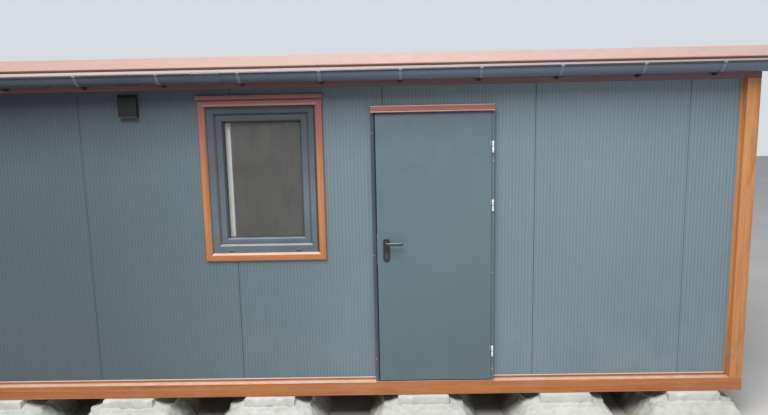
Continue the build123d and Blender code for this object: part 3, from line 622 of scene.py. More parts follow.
def concrete(name, base, rough_cast=False):
    """Cast concrete: cement bloom, damp foot, air holes with painted shade in them, sand grain, formwork marks."""
    g = Mat(name, rough=0.88, spec=0.25)
    big = g.noise(3.2, 6, 0.62, 0.2)
    mid = g.noise(17.0, 6, 0.65)
    sand = g.noise(380.0, 3, 0.6)
    c = g.mix(g.span(big, 0.3, 0.72), scaled(base, 0.80), scaled(base, 1.12))
    c = g.mix(g.span(mid, 0.42, 0.72, 0.0, 0.5), c, scaled(base, 1.22))
    c = g.mix(g.span(mid, 0.40, 0.24, 0.0, 0.55), c, (base[0] * 0.62, base[1] * 0.60, base[2] * 0.55, 1))
    c = g.mix(g.span(sand, 0.55, 0.72, 0.0, 0.35), c, scaled(base, 0.55))
    c = g.mix(g.span(sand, 0.42, 0.30, 0.0, 0.25), c, (0.85, 0.84, 0.80, 1))
    hole = g.voronoi(52.0 if not rough_cast else 34.0)
    hole_shade_mask = g.math("MULTIPLY", g.span(hole, 0.16, 0.05), g.span(g.noise(9.0, 2, 0.5), 0.5, 0.62))
    c = g.mix(g.math("MULTIPLY", hole_shade_mask, 0.7), c, scaled(base, 0.30))
    z = g.axis("Z")
    damp = g.math("MULTIPLY", g.span(z, 0.09, 0.0, 0.0, 0.65, True), g.span(g.noise(8.0, 4, 0.6), 0.2, 0.8, 0.5, 1.0))
    c = g.mix(damp, c, (0.20, 0.18, 0.15, 1))
    earth = g.math("MULTIPLY", g.span(z, 0.13, 0.02, 0.0, 0.5, True), g.span(g.noise(24.0, 5, 0.7), 0.48, 0.7))
    c = g.mix(earth, c, (0.26, 0.14, 0.09, 1))
    n = g.bump(mid, 0.012 if rough_cast else 0.004, 0.55)
    n = g.bump(sand, 0.0016 if rough_cast else 0.0008, 0.6, n)
    n = g.bump(hole_shade_mask, 0.004, -0.7, n)
    if not rough_cast:
        n = g.bump(g.noise((6.0, 6.0, 70.0), 3, 0.5), 0.002, 0.35, n)
    return g.done(c, g.span(mid, 0.3, 0.7, 0.82, 0.95), n)


def rubber(name, v=0.018):
    g = Mat(name, rough=0.62, spec=0.35)
    c = g.mix(g.span(g.noise(40.0, 4, 0.6), 0.4, 0.75, 0.0, 0.5), (v, v, v, 1), (v * 3.2, v * 3.1, v * 3.0, 1))
    return g.done(c, g.span(g.noise(90.0, 3, 0.5), 0.3, 0.7, 0.52, 0.72), g.bump(g.noise(700.0, 2, 0.5), 0.0003, 0.3))


def zinc(name, base=(0.62, 0.64, 0.65, 1), rough=0.34, metal=1.0):
    """Zinc-plated steel with a cloudy passivation and fine turning marks."""
    g = Mat(name, rough=rough, metallic=metal)
    cloud = g.noise(60.0, 4, 0.6)
    mark = g.noise((60.0, 60.0, 900.0), 2, 0.5)
    c = g.mix(g.span(cloud, 0.3, 0.7), scaled(base, 0.78), scaled(base, 1.12))
    c = g.mix(g.span(g.noise(140.0, 4, 0.7), 0.62, 0.75, 0.0, 0.45), c, (0.34, 0.25, 0.17, 1))
    return g.done(c, g.math("ADD", g.span(cloud, 0.3, 0.7, rough - 0.08, rough + 0.12), g.span(mark, 0.3, 0.7, -0.03, 0.05), clamp=True), g.bump(mark, 0.0003, 0.25))


def core_foam(name):
    g = Mat(name, rough=0.95, spec=0.15)
    cell = g.voronoi(700.0)
    c = g.mix(g.span(g.noise(12.0, 5, 0.6), 0.3, 0.7), (0.52, 0.42, 0.22, 1), (0.66, 0.55, 0.30, 1))
    c = g.mix(g.span(cell, 0.3, 0.6, 0.0, 0.4), c, (0.36, 0.28, 0.14, 1))
    return g.done(c, 0.95, g.bump(cell, 0.0008, 0.5))


def primer(name, base=(0.055, 0.045, 0.042, 1)):
    """Primed steel sections of the base: dull, scuffed, with rust at the edges of scratches."""
    g = Mat(name, rough=0.62, spec=0.4)
    big, mid = g.noise(3.0, 5, 0.6), g.noise(26.0, 5, 0.65)
    c = g.mix(g.span(big, 0.3, 0.7), scaled(base, 0.75), scaled(base, 1.45))
    c = g.mix(g.span(mid, 0.60, 0.74, 0.0, 0.75), c, (0.22, 0.085, 0.035, 1))
    c = g.mix(g.span(g.noise(190.0, 3, 0.6), 0.6, 0.72, 0.0, 0.35), c, (0.20, 0.18, 0.16, 1))
    return g.done(c, g.span(mid, 0.3, 0.7, 0.52, 0.78), g.bump(g.noise(300.0, 3, 0.6), 0.0005, 0.4))


def boards(name):
    """Floor of birch plywood sheets: face grain along the house, sheet joints, scuffs and grit."""
    g = Mat(name, rough=0.6, spec=0.35)
    band = g.noise((1.1, 19.0, 19.0), 5, 0.6, 1.0)
    fib = g.noise((6.0, 330.0, 330.0), 3, 0.6)
    c = g.ramp(band, [(0.25, (0.30, 0.19, 0.10, 1)), (0.5, (0.44, 0.30, 0.17, 1)), (0.75, (0.55, 0.40, 0.25, 1))])
    c = g.mix(g.span(fib, 0.5, 0.7, 0.0, 0.4), c, (0.24, 0.15, 0.08, 1))
    c = g.mix(g.span(g.noise(5.0, 6, 0.7), 0.48, 0.75, 0.0, 0.5), c, (0.34, 0.30, 0.26, 1))
    return g.done(c, g.span(g.noise(8.0, 4, 0.6), 0.3, 0.7, 0.5, 0.75), g.bump(fib, 0.0005, 0.4))


OAK_DARK, OAK_MID = (0.200, 0.062, 0.018, 1), (0.335, 0.125, 0.038, 1)
OAK_LIGHT, OAK_WARM = (0.43, 0.182, 0.060, 1), (0.38, 0.118, 0.040, 1)
WALL = (0.126, 0.175, 0.206, 1)

M = {
    # painted shade on the wall coats: darker towards the left and close under the eave
    "wall": coated("coat_wall_anthracite", WALL, rough=0.44, spread=0.06, streak=0.015, dust=0.10, wave=0.30, low_dirt=0.12, eave=0.76, left=0.53),
    # painted shade: the rib valleys get a copy of the wall coat 15 % darker
    "shaded_valley": coated("coat_wall_rib_valleys_painted_shade", scaled(WALL, 0.85), rough=0.44, spread=0.06, streak=0.015, dust=0.10, wave=0.30, low_dirt=0.12, eave=0.76, left=0.53),
    "wall_plain": coated("coat_roof_underside", (0.60, 0.61, 0.60, 1), rough=0.5, spread=0.04, streak=0.02, dust=0.05, low_dirt=0.1, dust_col=(0.42, 0.40, 0.37, 1), wave=0.2),
    "inner": coated("coat_inner_white", (0.76, 0.77, 0.76, 1), rough=0.45, spread=0.03, streak=0.02, dust=0.06, low_dirt=0.25, dust_top=0.7, wave=0.2),
    "foam": core_foam("core_foam"),
    "seal": rubber("seal_black"),
    "oak_x": oak_foil("oak_foil_along_x", "x", (0.94, 0.84, 0.78)),
    "oak_y": oak_foil("oak_foil_along_y", "y"),
    "oak_z": oak_foil("oak_foil_along_z", "z", (1.08, 1.15, 1.07)),
    # painted shade: the window's side trims get a darker copy of the foil
    "oak_w": oak_foil("oak_foil_window_sides_shaded", "z", (0.92, 0.97, 1.0)),
    # painted highlight: the folded top edge of the base covers is a pale copy of the foil
    "hem": coated("foil_folded_edge_painted_highlight", (0.42, 0.33, 0.275, 1), rough=0.45, spread=0.10, streak=0.05, dust=0.12, streak_axis="x", low_dirt=0.0, wave=0.1),
    "eave": coated("coat_eave_red", (0.105, 0.040, 0.046, 1), rough=0.5, spread=0.10, streak=0.05, dust=0.12, streak_axis="x", low_dirt=0.0, wave=0.3),
    # painted reflection: the apron and roof coats are pale pink, partly the faded coat and partly the sky's sheen
    # painted into the colour; the roof also gets painted shade towards the left
    "apron": coated("coat_apron_pale_red", (0.29, 0.222, 0.208, 1), rough=0.42, spread=0.06, streak=0.06, dust=0.2, streak_axis="x", low_dirt=0.0, wave=0.12, dust_col=(0.36, 0.32, 0.31, 1), top_dust_and_sheen=0.4),
    # painted shade: the front fold's lip is a dark copy of the red coat
    "lip": coated("coat_folded_lip_painted_shade", (0.090, 0.030, 0.024, 1), rough=0.45, spread=0.10, streak=0.05, dust=0.15, streak_axis="x", low_dirt=0.0, wave=0.1),
    "roof": coated("coat_roof_red", (0.327, 0.206, 0.176, 1), rough=0.42, spread=0.05, streak=0.05, dust=0.12, streak_axis="y", low_dirt=0.0, wave=0.12, dust_col=(0.46, 0.37, 0.34, 1), top_dust_and_sheen=0.42, spec=0.5, left=0.93),
    # painted light: the gutter and the brackets are lighter towards the right
    "gutter": plastic("plastic_gutter", (0.043, 0.052, 0.074, 1), rough=0.22, right=2.3, dust=0.05, strength=0.04, run="x", dust_col=(0.27, 0.28, 0.29, 1)),
    # painted shade: a darker copy of the gutter plastic, for the bead and the strip under the window trim
    "bead": plastic("plastic_gutter_bead_painted_shade", (0.022, 0.033, 0.043, 1), rough=0.30, dust=0.2, run="x", dust_col=(0.20, 0.21, 0.22, 1)),
    "pipe": plastic("plastic_downpipe", (0.030, 0.043, 0.055, 1), rough=0.34, dust=0.35, run="z", dust_col=(0.27, 0.28, 0.29, 1)),
    # painted shade: the bracket feet are a near-black copy of the bracket plastic
    "foot": plastic("plastic_bracket_feet_painted_shade", (0.018, 0.020, 0.022, 1), rough=0.5, dust=0.2, run="n", dust_col=(0.12, 0.12, 0.12, 1)),
    "clip": plastic("plastic_brackets", (0.105, 0.125, 0.155, 1), rough=0.42, dust=0.3, right=1.35, run="n", dust_col=(0.27, 0.28, 0.29, 1)),
    # painted shade: the window plastic and the door coat darken close under the eave
    "pvc": plastic("plastic_window", (0.082, 0.104, 0.124, 1), rough=0.33, dust=0.2, grain=650.0, strength=0.2, run="n", dust_col=(0.34, 0.35, 0.36, 1), eave=0.62),
    "door": coated("coat_door", (0.080, 0.120, 0.139, 1), rough=0.40, spread=0.04, streak=0.015, dust=0.10, wave=0.35, dust_top=0.9, low_dirt=0.06, eave=1.0),
    "jamb": coated("coat_door_frame", (0.036, 0.052, 0.072, 1), rough=0.42, spread=0.08, streak=0.06, dust=0.20, wave=0.1),
    "zinc": zinc("zinc_screws"),
    "bright": zinc("zinc_hinge", (0.86, 0.87, 0.88, 1), 0.45, 0.55),
    "cylinder": zinc("dark_lock_cylinder", (0.10, 0.10, 0.105, 1), 0.4, 0.6),
    "lever": plastic("plastic_lever", (0.030, 0.034, 0.040, 1), rough=0.22, dust=0.12, grain=900.0, run="n", dust_col=(0.20, 0.21, 0.22, 1), up_dust=0.7),
    "black": plastic("plastic_handle", (0.014, 0.015, 0.017, 1), rough=0.28, dust=0.18, grain=900.0, run="n", dust_col=(0.12, 0.12, 0.12, 1)),
    "vent": plastic("plastic_vent", (0.012, 0.013, 0.015, 1), rough=0.6, spec=0.2, dust=0.15, run="n", dust_col=(0.06, 0.06, 0.06, 1)),
    "vent_lip": plastic("plastic_vent_lip", (0.050, 0.034, 0.034, 1), rough=0.5, dust=0.3, run="n", dust_col=(0.12, 0.11, 0.11, 1)),
    "white": plastic("plastic_white_lining", (0.86, 0.90, 0.86, 1), rough=0.4, dust=0.1, run="z", dust_col=(0.45, 0.44, 0.40, 1)),
    "block": concrete("concrete_blocks", (0.47, 0.485, 0.455, 1)),
    "pad": concrete("concrete_cast_pads", (0.43, 0.435, 0.40, 1), True),
    "steel": primer("primed_steel"),
    "floor": boards("floor_plywood"),
    # near black: the glazing spacer's own colour, and painted shade in slots, keyholes and screw recesses
    "dark": rubber("dark_spacer_and_hole_shade", 0.010),
}


def glass(name):
    """Window pane: clear, with a thin uneven film of dust that lights up a little."""
    g = Mat(name, rough=0.02, spec=0.8, IOR=1.5)
    film = g.span(g.noise(5.0, 5, 0.65), 0.35, 0.8, 0.0, 1.0)
    c = g.mix(film, (0.17, 0.172, 0.168, 1), (0.26, 0.262, 0.255, 1))
    g.b.inputs["Alpha"].default_value = 0.12
    return g.done(c, g.span(film, 0.0, 1.0, 0.012, 0.05), g.bump(g.noise(1.4, 2, 0.5), 0.01, 0.10))


M["glass"] = glass("glass_panes")


# --------------------------------------------------------------------- walls
PITCH, VALLEY, SLANT, RIB_D = 26.0, 8.0, 3.0, 0.8     # micro-rib: pitch, valley floor, slopes, depth


def panel_columns(a, b, module_a, module_b):
    """Columns of one panel as (u, outer depth, inner depth): ribs outside, shallow lining lines inside, edges turned in at a real joint."""
    inner_w = module_b - module_a
    n = int(inner_w // PITCH)
    start = module_a + (inner_w - n * PITCH) / 2
    cols = []
    for k in range(n):
        c = start + (k + 0.5) * PITCH
        line = 0.9 if k % 4 == 1 else 0.0
        cols += [(c - VALLEY / 2 - SLANT, 0.0, 0.0), (c - VALLEY / 2, RIB_D, line), (c + VALLEY / 2, RIB_D, line), (c + VALLEY / 2 + SLANT, 0.0, 0.0)]
    cols = [c for c in cols if a + 6.5 < c[0] < b - 6.5 or (a != module_a and a + 0.5 < c[0] < b - 6.5) or (b != module_b and a + 6.5 < c[0] < b - 0.5)]
    left = [(a, 5.0, 3.0), (a + 1.2, 1.6, 0.8), (a + 3.6, 0.0, 0.0)] if a == module_a else [(a, 0.0, 0.0)]
    right = [(b - 3.6, 0.0, 0.0), (b - 1.2, 1.6, 0.8), (b, 5.0, 3.0)] if b == module_b else [(b, 0.0, 0.0)]
    cols = [c for c in cols if left[-1][0] + 0.4 < c[0] < right[0][0] - 0.4]
    return left + cols + right


def depth_at(cols, u, k):
    for c, d in zip(cols[:-1], cols[1:]):
        if c[0] <= u <= d[0]:
            t = (u - c[0]) / max(1e-9, d[0] - c[0])
            return c[k] * (1 - t) + d[k] * t
    return 0.0


def wall_panel(s, cols, z0, ztop, place, holes=(), mats=(0, 1, 2)):
    """One insulated panel as a closed solid. ztop(u, depth) is its top, holes are (u0, u1, z0, z1)."""
    us = [c[0] for c in cols]
    extra = sorted({h[k] for h in holes for k in (0, 1) if us[0] < h[k] < us[-1]})
    cols = sorted(cols + [(u, depth_at(cols, u, 1), depth_at(cols, u, 2)) for u in extra if min(abs(u - x) for x in us) > 1e-6])
    us = [c[0] for c in cols]
    zs = [z0] + sorted({h[k] for h in holes for k in (2, 3) if h[k] > z0 + 1}) + [None]
    nu, nz = len(cols), len(zs)
    idx, verts = {}, []

    def vert(i, j, side):
        key = (i, j, side)
        if key not in idx:
            u, do, di = cols[i]
            d = do if side == 0 else WALL_T - di
            z = ztop(u, d) if zs[j] is None else zs[j]
            idx[key] = len(verts)
            verts.append(place(u, d, z))
        return idx[key]

    def solid(i, j):
        if not (0 <= i < nu - 1 and 0 <= j < nz - 1):
            return False
        um = (us[i] + us[i + 1]) / 2
        lo = zs[j]
        hi = zs[j + 1] if zs[j + 1] is not None else lo + 50
        zm = (lo + hi) / 2
        return not any(h[0] < um < h[1] and h[2] < zm < h[3] for h in holes)

    outer, shaded_valley, inner, edge = [], [], [], []
    for i in range(nu - 1):
        for j in range(nz - 1):
            if not solid(i, j):
                continue
            deep = cols[i][1] > 0.8 * RIB_D and cols[i + 1][1] > 0.8 * RIB_D and RIB_D * 1.2 > max(cols[i][1], cols[i + 1][1])
            (shaded_valley if deep else outer).append([vert(i, j, 0), vert(i + 1, j, 0), vert(i + 1, j + 1, 0), vert(i, j + 1, 0)])
            inner.append([vert(i, j, 1), vert(i + 1, j, 1), vert(i + 1, j + 1, 1), vert(i, j + 1, 1)])
            if not solid(i - 1, j):
                edge.append([vert(i, j, 0), vert(i, j + 1, 0), vert(i, j + 1, 1), vert(i, j, 1)])
            if not solid(i + 1, j):
                edge.append([vert(i + 1, j, 0), vert(i + 1, j + 1, 0), vert(i + 1, j + 1, 1), vert(i + 1, j, 1)])
            if not solid(i, j - 1):
                edge.append([vert(i, j, 0), vert(i + 1, j, 0), vert(i + 1, j, 1), vert(i, j, 1)])
            if not solid(i, j + 1):
                edge.append([vert(i, j + 1, 0), vert(i + 1, j + 1, 0), vert(i + 1, j + 1, 1), vert(i, j + 1, 1)])
    o = len(s.v)
    s.v.extend(verts)
    for group, m in ((outer, mats[0]), (inner, mats[1]), (edge, mats[2]), (shaded_valley, 3)):
        for f in group:
            s.f.append([i + o for i in f])
            s.m.append(m)


FX = [-XW] + SEAMS + [XW]
WX = -559.0
WIN = (WX - 436.5, WX + 436.5, 1396.0, 2569.0)
DOOR = (272.5, 1199.5, 300.0, 2520.5)
PANEL_MATS = [M["wall"], M["inner"], M["foam"], M["shaded_valley"]]


def front_place(u, d, z):
    return (u, d, z)


def back_place(u, d, z):
    return (u, DEPTH - d, z)


def front_top(u, d):
    return wall_top(d)


def back_top(u, d):
    return wall_top(DEPTH - d)


def long_panel(s, k, a=None, b=None, z0=BEAM_TOP, holes=(), back=False):
    """Panel k of a long wall, from a to b where it is cut inside its module."""
    m0, m1 = FX[k] + (1.0 if k else 0.0), FX[k + 1] - (1.0 if k < 5 else 0.0)
    if k == 0:
        m0, a = m1 - 1148.0, -XW  # the first and the last panel end at the corners
    if k == 5:
        m1 = m0 + 1148.0
    c = panel_columns(a if a is not None else m0, b if b is not None else (XW if k == 5 else m1), m0, m1)
    wall_panel(s, c, z0, back_top if back else front_top, back_place if back else front_place, holes)


for node, k, kw in (("front_panel_1", 0, {}), ("front_panel_2", 1, {"holes": [WIN]}), ("front_panel_3", 2, {"holes": [WIN, DOOR]}),
                    ("front_panel_over_door", 3, {"b": 1199.5, "z0": 2520.5}), ("front_panel_4", 3, {"a": 1199.5})):
    s = Soup()
    long_panel(s, k, **kw)
    make("skin_" + node, s, PANEL_MATS, stands=[node])
s = Soup()
long_panel(s, 4)
long_panel(s, 5)
make("skin_front_panels_right", s, PANEL_MATS, stands=["front_panels_right"])
s = Soup()
for k in range(6):
    long_panel(s, k, back=True)
make("skin_back_wall", s, PANEL_MATS, stands=["back_wall_panels"])

SY = [WALL_T] + SIDE_SEAMS + [DEPTH - WALL_T]
for side, name, node in ((-1, "skin_left_wall", "left_wall_panels"), (1, "skin_right_wall", "right_wall_panels")):
    s = Soup()
    for k in range(3):
        a, b = SY[k] + 1.0, SY[k + 1] - 1.0
        m0, m1 = (SY[1] - 1149.0, b) if k == 0 else ((a, SY[2] + 1149.0) if k == 2 else (a, b))
        cols = panel_columns(a, b, m0, m1)
        wall_panel(s, cols, BEAM_TOP, (lambda u, d: wall_top(u)), (lambda u, d, z, side=side: (side * (XW - d), u, z)))
    make(name, s, PANEL_MATS, stands=[node])

# the dark seal in every panel joint
s = Soup()
for x in SEAMS:
    for y0, y1, back in ((5.5, 95.0, False), (DEPTH - 95.0, DEPTH - 5.5, True)):
        lo = BEAM_TOP + 2
        spans = [(lo, wall_top(y0) - 2)]
        if not back and abs(x - SEAMS[1]) < 1:
            spans = [(lo, 1395.0), (2570.0, wall_top(y0) - 2)]
        if not back and abs(x - SEAMS[2]) < 1:
            spans = [(2521.5, wall_top(y0) - 2)]
        for a, b in spans:
            rbox(s, x - 1.0, x + 1.0, y0, y1, a, b, 0.2, 1, 0)
for side in (-1, 1):
    for y in SIDE_SEAMS:
        x0, x1 = sorted((side * (XW - 5.5), side * (XW - 95.0)))
        rbox(s, x0, x1, y - 1.0, y + 1.0, BEAM_TOP + 2, wall_top(y) - 2, 0.2, 1, 0)
make("wall_joint_seals", s, [M["seal"]])

# ------------------------------------------------------------------ footings


def grid_box(s, x0, x1, y0, y1, z0, z1, step, fn, mat=0):
    """The surface of a box as a fine grid, each point moved by fn(point, unit position)."""
    n = [max(2, int(round((b - a) / step))) for a, b in ((x0, x1), (y0, y1), (z0, z1))]
    lo, hi = (x0, y0, z0), (x1, y1, z1)
    idx, verts, faces = {}, [], []

    def vert(i, j, k):
        key = (i, j, k)
        if key not in idx:
            t = (i / n[0], j / n[1], k / n[2])
            p = tuple(lo[a] + (hi[a] - lo[a]) * t[a] for a in range(3))
            idx[key] = len(verts)
            verts.append(fn(p, t))
        return idx[key]

    for a in range(3):
        b, c = (a + 1) % 3, (a + 2) % 3
        for end in (0, n[a]):
            for i in range(n[b]):
                for j in range(n[c]):
                    q = []
                    for di, dj in ((0, 0), (1, 0), (1, 1), (0, 1)):
                        key = [0, 0, 0]
                        key[a], key[b], key[c] = end, i + di, j + dj
                        q.append(vert(*key))
                    faces.append(q if end else q[::-1])
    s.add(verts, faces, mat)


def block_shape(cx, cy, w, d, z0, z1, seed):
    c, half = (cx, cy, (z0 + z1) / 2), (w / 2, d / 2, (z1 - z0) / 2)

    def fn(p, t):
        q = np.array(p, float)
        rel = (q - c) / half
        dist = np.array(half) - np.abs(q - c)                 # how far inside each pair of faces
        srt = np.sort(dist)
        edge = srt[1]                                         # distance to the nearest edge
        n1 = lump(p, 85.0, seed)
        n2 = lump(p, 22.0, seed + 7)
        n3 = lump(p, 9.0, seed + 3)
        pull = 2.2 + 1.6 * n2 if edge < 3 else 0.0
        if edge < 30:
            chip = max(0.0, lump(p, 38.0, seed + 11) - 0.16) * 34.0 * (1 - edge / 30)
            pull += chip
        k = int(np.argmin(dist))
        out = q.copy()
        for a in range(3):
            if dist[a] < 22:
                w8 = 1.0 if dist[a] < 0.01 else 0.0
                out[a] -= np.sign(rel[a]) * (pull * (0.7 if dist[a] < 0.01 or edge < 0.01 else 0.0))
                if a != 2 and w8:
                    out[a] += np.sign(rel[a]) * (1.8 * n1 + 0.9 * n2 + 0.4 * n3)
        if t[2] > 0.999:
            out[2] = min(out[2], z1) - max(0.0, 0.8 * n2)
        if t[2] < 0.001:
            out[2] = z0 - 2.0
        return tuple(out)

    return fn


blocks, pads = Soup(), Soup()
BLOCK_STEP = 15.0
for i, cx in enumerate(FOOT_X):
    for j, (cy, py, ty) in enumerate(((-92.0 + 300.0, -260.0 + 430.0, -107.0 + 330.0), (DEPTH + 92.0 - 300.0, DEPTH + 260.0 - 430.0, DEPTH + 107.0 - 330.0))):
        seed = 1.7 * i + 9.3 * j
        grid_box(blocks, cx - 200, cx + 200, cy - 300, cy + 300, 189.5, 262.0, BLOCK_STEP, block_shape(cx, cy, 400.0, 600.0, 189.5, 262.0, seed))

        def pad(p, t, cx=cx, cy=cy, py=py, ty=ty, seed=seed):
            h = t[2]
            u, v = (p[0] - cx) / 450.0, (p[1] - py) / 430.0
            k = max(abs(u), abs(v))
            # a heap that narrows upwards, rounded in plan
            r = 60.0
            hx, hy, my = 450.0 - 160.0 * h, 430.0 - 100.0 * h, py + (ty - py) * h
            x, y = u * hx, v * hy
            ax, ay = abs(x) - (hx - r), abs(y) - (hy - r)
            if ax > 0 and ay > 0:
                m = max(ax, ay)
                l = math.hypot(ax, ay)
                x, y = math.copysign(hx - r + ax * m / l, x), math.copysign(hy - r + ay * m / l, y)
            q = (cx + x, my + y, p[2])
            n1, n2, n3 = lump(q, 150.0, seed), lump(q, 52.0, seed + 5), lump(q, 19.0, seed + 2)
            side = 1.0 if k > 0.999 else 0.0
            ux, uy = x / max(1.0, math.hypot(x, y)), y / max(1.0, math.hypot(x, y))
            push = side * min(1.0, h * 2.5 + 0.3) * (16.0 * n1 + 15.0 * n2 + 6.0 * n3 - 2.0)
            z = p[2]
            if h > 0.999:
                bx, by = abs(q[0] - cx) - 200.0, abs(q[1] - cy) - 300.0
                gap = max(bx, by)
                if gap > -4:
                    edge = max(0.0, (k - 0.80) / 0.20)
                    z -= edge ** 1.6 * 16.0 + max(0.0, 5.0 + 12.0 * n2 + 6.0 * n3) * min(1.0, max(0.0, gap) / 14.0)
                    z += max(0.0, 8.0 * (1 - max(0.0, gap) / 26.0)) * (0.4 + 0.9 * max(0.0, n2 + 0.3))
            elif h > 0.001:
                z += side * 9.0 * n2 * h
            return (q[0] + ux * push, q[1] + uy * push, max(0.0, z))

        grid_box(pads, cx - 450, cx + 450, py - 430, py + 430, 0.0, 189.0, 22.0, pad)
mortar = Soup()
for i, cx in enumerate(FOOT_X):
    for j, cy in enumerate((-92.0 + 300.0, DEPTH + 92.0 - 300.0)):
        ring = []
        step = 20.0
        for (x0, y0, x1, y1) in ((-199, -299, 199, -299), (199, -299, 199, 299), (199, 299, -199, 299), (-199, 299, -199, -299)):
            n = int(math.hypot(x1 - x0, y1 - y0) / step)
            for k in range(n):
                ring.append((x0 + (x1 - x0) * k / n, y0 + (y1 - y0) * k / n))
        verts, faces = [], []
        for bx, by in ring:
            nx = 0.0 if abs(by) > 298 and abs(bx) < 198 else math.copysign(1.0, bx)
            ny = 0.0 if abs(bx) > 198 and abs(by) < 298 else math.copysign(1.0, by)
            q = (cx + bx, cy + by, 40.0 * i + 15.0 * j)
            w1, w2 = lump(q, 70.0, 4.4 + i), lump(q, 24.0, 8.1 + j)
            side = min(1.0, max(0.0, (299.0 - abs(by)) / 70.0)) if abs(bx) > 198 else 0.0
            a = (1 - side) * max(4.0, 11.0 + 14.0 * w1 + 10.0 * w2) + side * (46.0 + 12.0 * w1 + 9.0 * w2)
            b = (1 - side) * max(12.0, 24.0 + 12.0 * w2) + side * (118.0 + 30.0 * lump(q, 90.0, 2.2 + i) + 10.0 * w2)
            for k, (o, h) in enumerate(((-5.0, a), (1.5, 0.90 * a), (0.25 * b, 0.55 * a), (0.55 * b, 0.16 * a - 3.0), (b, -30.0 * (1 - side) - 6.0), (b + 12.0, -60.0))):
                h += (3.0 * w2 + 2.0 * lump((q[0] + o, q[1] + o, 0.0), 14.0, 1.0 * k)) * (1.0 if 0 < k < 4 else 0.0)
                verts.append((cx + bx + nx * o, cy + by + ny * o, 189.0 + h))
        r, n = 6, len(ring)
        for k in range(n):
            p0, p1 = r * k, r * ((k + 1) % n)
            for t in range(r - 1):
                faces.append([p0 + t, p0 + t + 1, p1 + t + 1, p1 + t])
        mortar.add(verts, faces, 0)
make("concrete_mortar", mortar, [M["pad"]], angle=60)
make("concrete_blocks", blocks, [M["block"]], stands=["footing_blocks"], angle=45)
make("concrete_pads", pads, [M["pad"]], stands=["footing_pads"], angle=60)

# -------------------------------------------------- steel base frame and floor
s = Soup()
Z0, Z1 = 262.0, 366.0


def weld_bead(s, p, q, r=2.2, mat=0):
    """A short run of weld between two points."""
    p, q = Vector(p), Vector(q)
    n = max(3, int((q - p).length / 5.0))
    pts, rs = [], []
    for k in range(n + 1):
        pts.append(p.lerp(q, k / n))
        rs.append(r * (0.85 + 0.25 * (k % 2)))
    tube(s, pts, rs, 7, mat)


for lo, hi in ((-46.5, 0.0), (0.6, 100.0), (DEPTH - 100.0, DEPTH - 0.6), (DEPTH, DEPTH + 46.5)):
    prism(s, fillet([(lo, Z0), (hi, Z0), (hi, Z1), (lo, Z1)], 6.0, 4, True), "x", -XC + 3, XC - 3, 0, 1)
for side in (-1, 1):
    for a, b in ((XW - 100.0, XW), (XW + 0.6, XC - 3.2)):
        x0, x1 = sorted((side * a, side * b))
        prism(s, fillet([(x0, Z0), (x1, Z0), (x1, Z1), (x0, Z1)], 6.0, 4, True), "y", 101.0, DEPTH - 101.0, 0, 1)
    for y in (101.0, DEPTH - 101.0):
        weld_bead(s, (side * (XW - 100.0), y, Z0 + 1), (side * (XW - 4.0), y, Z0 + 1), 3.0)
make("base_frame_sections", s, [M["steel"]], stands=["base_beams"])
s = Soup()
for k in range(5):
    cx = -2200.0 + 1100.0 * k
    prism(s, fillet([(cx - 30, 266.0), (cx + 30, 266.0), (cx + 30, 342.0), (cx - 30, 342.0)], 5.0, 4, True), "y", 101.0, DEPTH - 101.0, 0, 1)
    for y in (101.5, DEPTH - 101.5):
        weld_bead(s, (cx - 30, y, 268.0), (cx + 30, y, 268.0), 2.6)
        for sx in (-30, 30):
            weld_bead(s, (cx + sx, y, 270.0), (cx + sx, y, 330.0), 2.4)
make("floor_joist_sections", s, [M["steel"]], stands=["floor_joists"])
s = Soup()
XF = XW - 101.0
cuts = [-XF, -XF + 1218.0, -XF + 2 * 1218.0, XF - 2 * 1218.0, XF - 1218.0, XF]
for a, b in zip(cuts[:-1], cuts[1:]):
    for y0, y1 in ((101.0, 1219.4), (1220.6, DEPTH - 101.0)):
        rbox(s, a + 0.6, b - 0.6, y0, y1, 342.0, 372.0, 0.8, 1, 0)
for a, b in zip(cuts[:-1], cuts[1:]):
    for y in (130.0, 480.0, 830.0, 1190.0, 1250.0, 1600.0, 1950.0, 2310.0):
        for x in (a + 22.0, b - 22.0):
            lathe(s, [(0, 371.2), (4.2, 371.9), (4.2, 372.05), (2.0, 372.1), (0, 371.9)], (x, y, 0), (0, 0, 1), 10, 1)
make("floor_boards", s, [M["floor"], M["zinc"]], stands=["floor_deck"])

# -------------------------------------------------------------- base covers
T = 1.6      # sheet thickness shown


BASE_LINE = [(-40.0, 264.0), (-50.0, 264.0), (-50.0, 371.0), (-2.2, 371.5), (-2.2, 397.0)]
with_upstand = sheet_outline(BASE_LINE, -T, 2.4, 5)
no_upstand = sheet_outline(BASE_LINE[:3] + [(-0.8, 371.5)], -T, 2.4, 5)
under_door = sheet_outline([(-40.0, 264.0), (-50.0, 264.0), (-50.0, 378.0), (-46.0, 378.0)], -T, 1.6, 4)


def to_back(pts):
    return [(DEPTH - y, z) for y, z in pts]


s = Soup()
for sx in (-1, 1):
    for pts, front in ((no_upstand, True), (to_back(no_upstand), False)):
        # the corner of two covers is cut at 45 degrees
        prism(s, pts, "x", sx * 3032.1, (lambda y, z, sx=sx, front=front: sx * (XC - ((y if front else DEPTH - y) + 50.0))), 0)
prism(s, with_upstand, "x", -3031.9, 272.0, 0)
prism(s, with_upstand, "x", 1200.0, 3031.9, 0)
prism(s, under_door, "x", 272.1, 1199.9, 0)
prism(s, to_back(with_upstand), "x", -3031.9, 3031.9, 0)
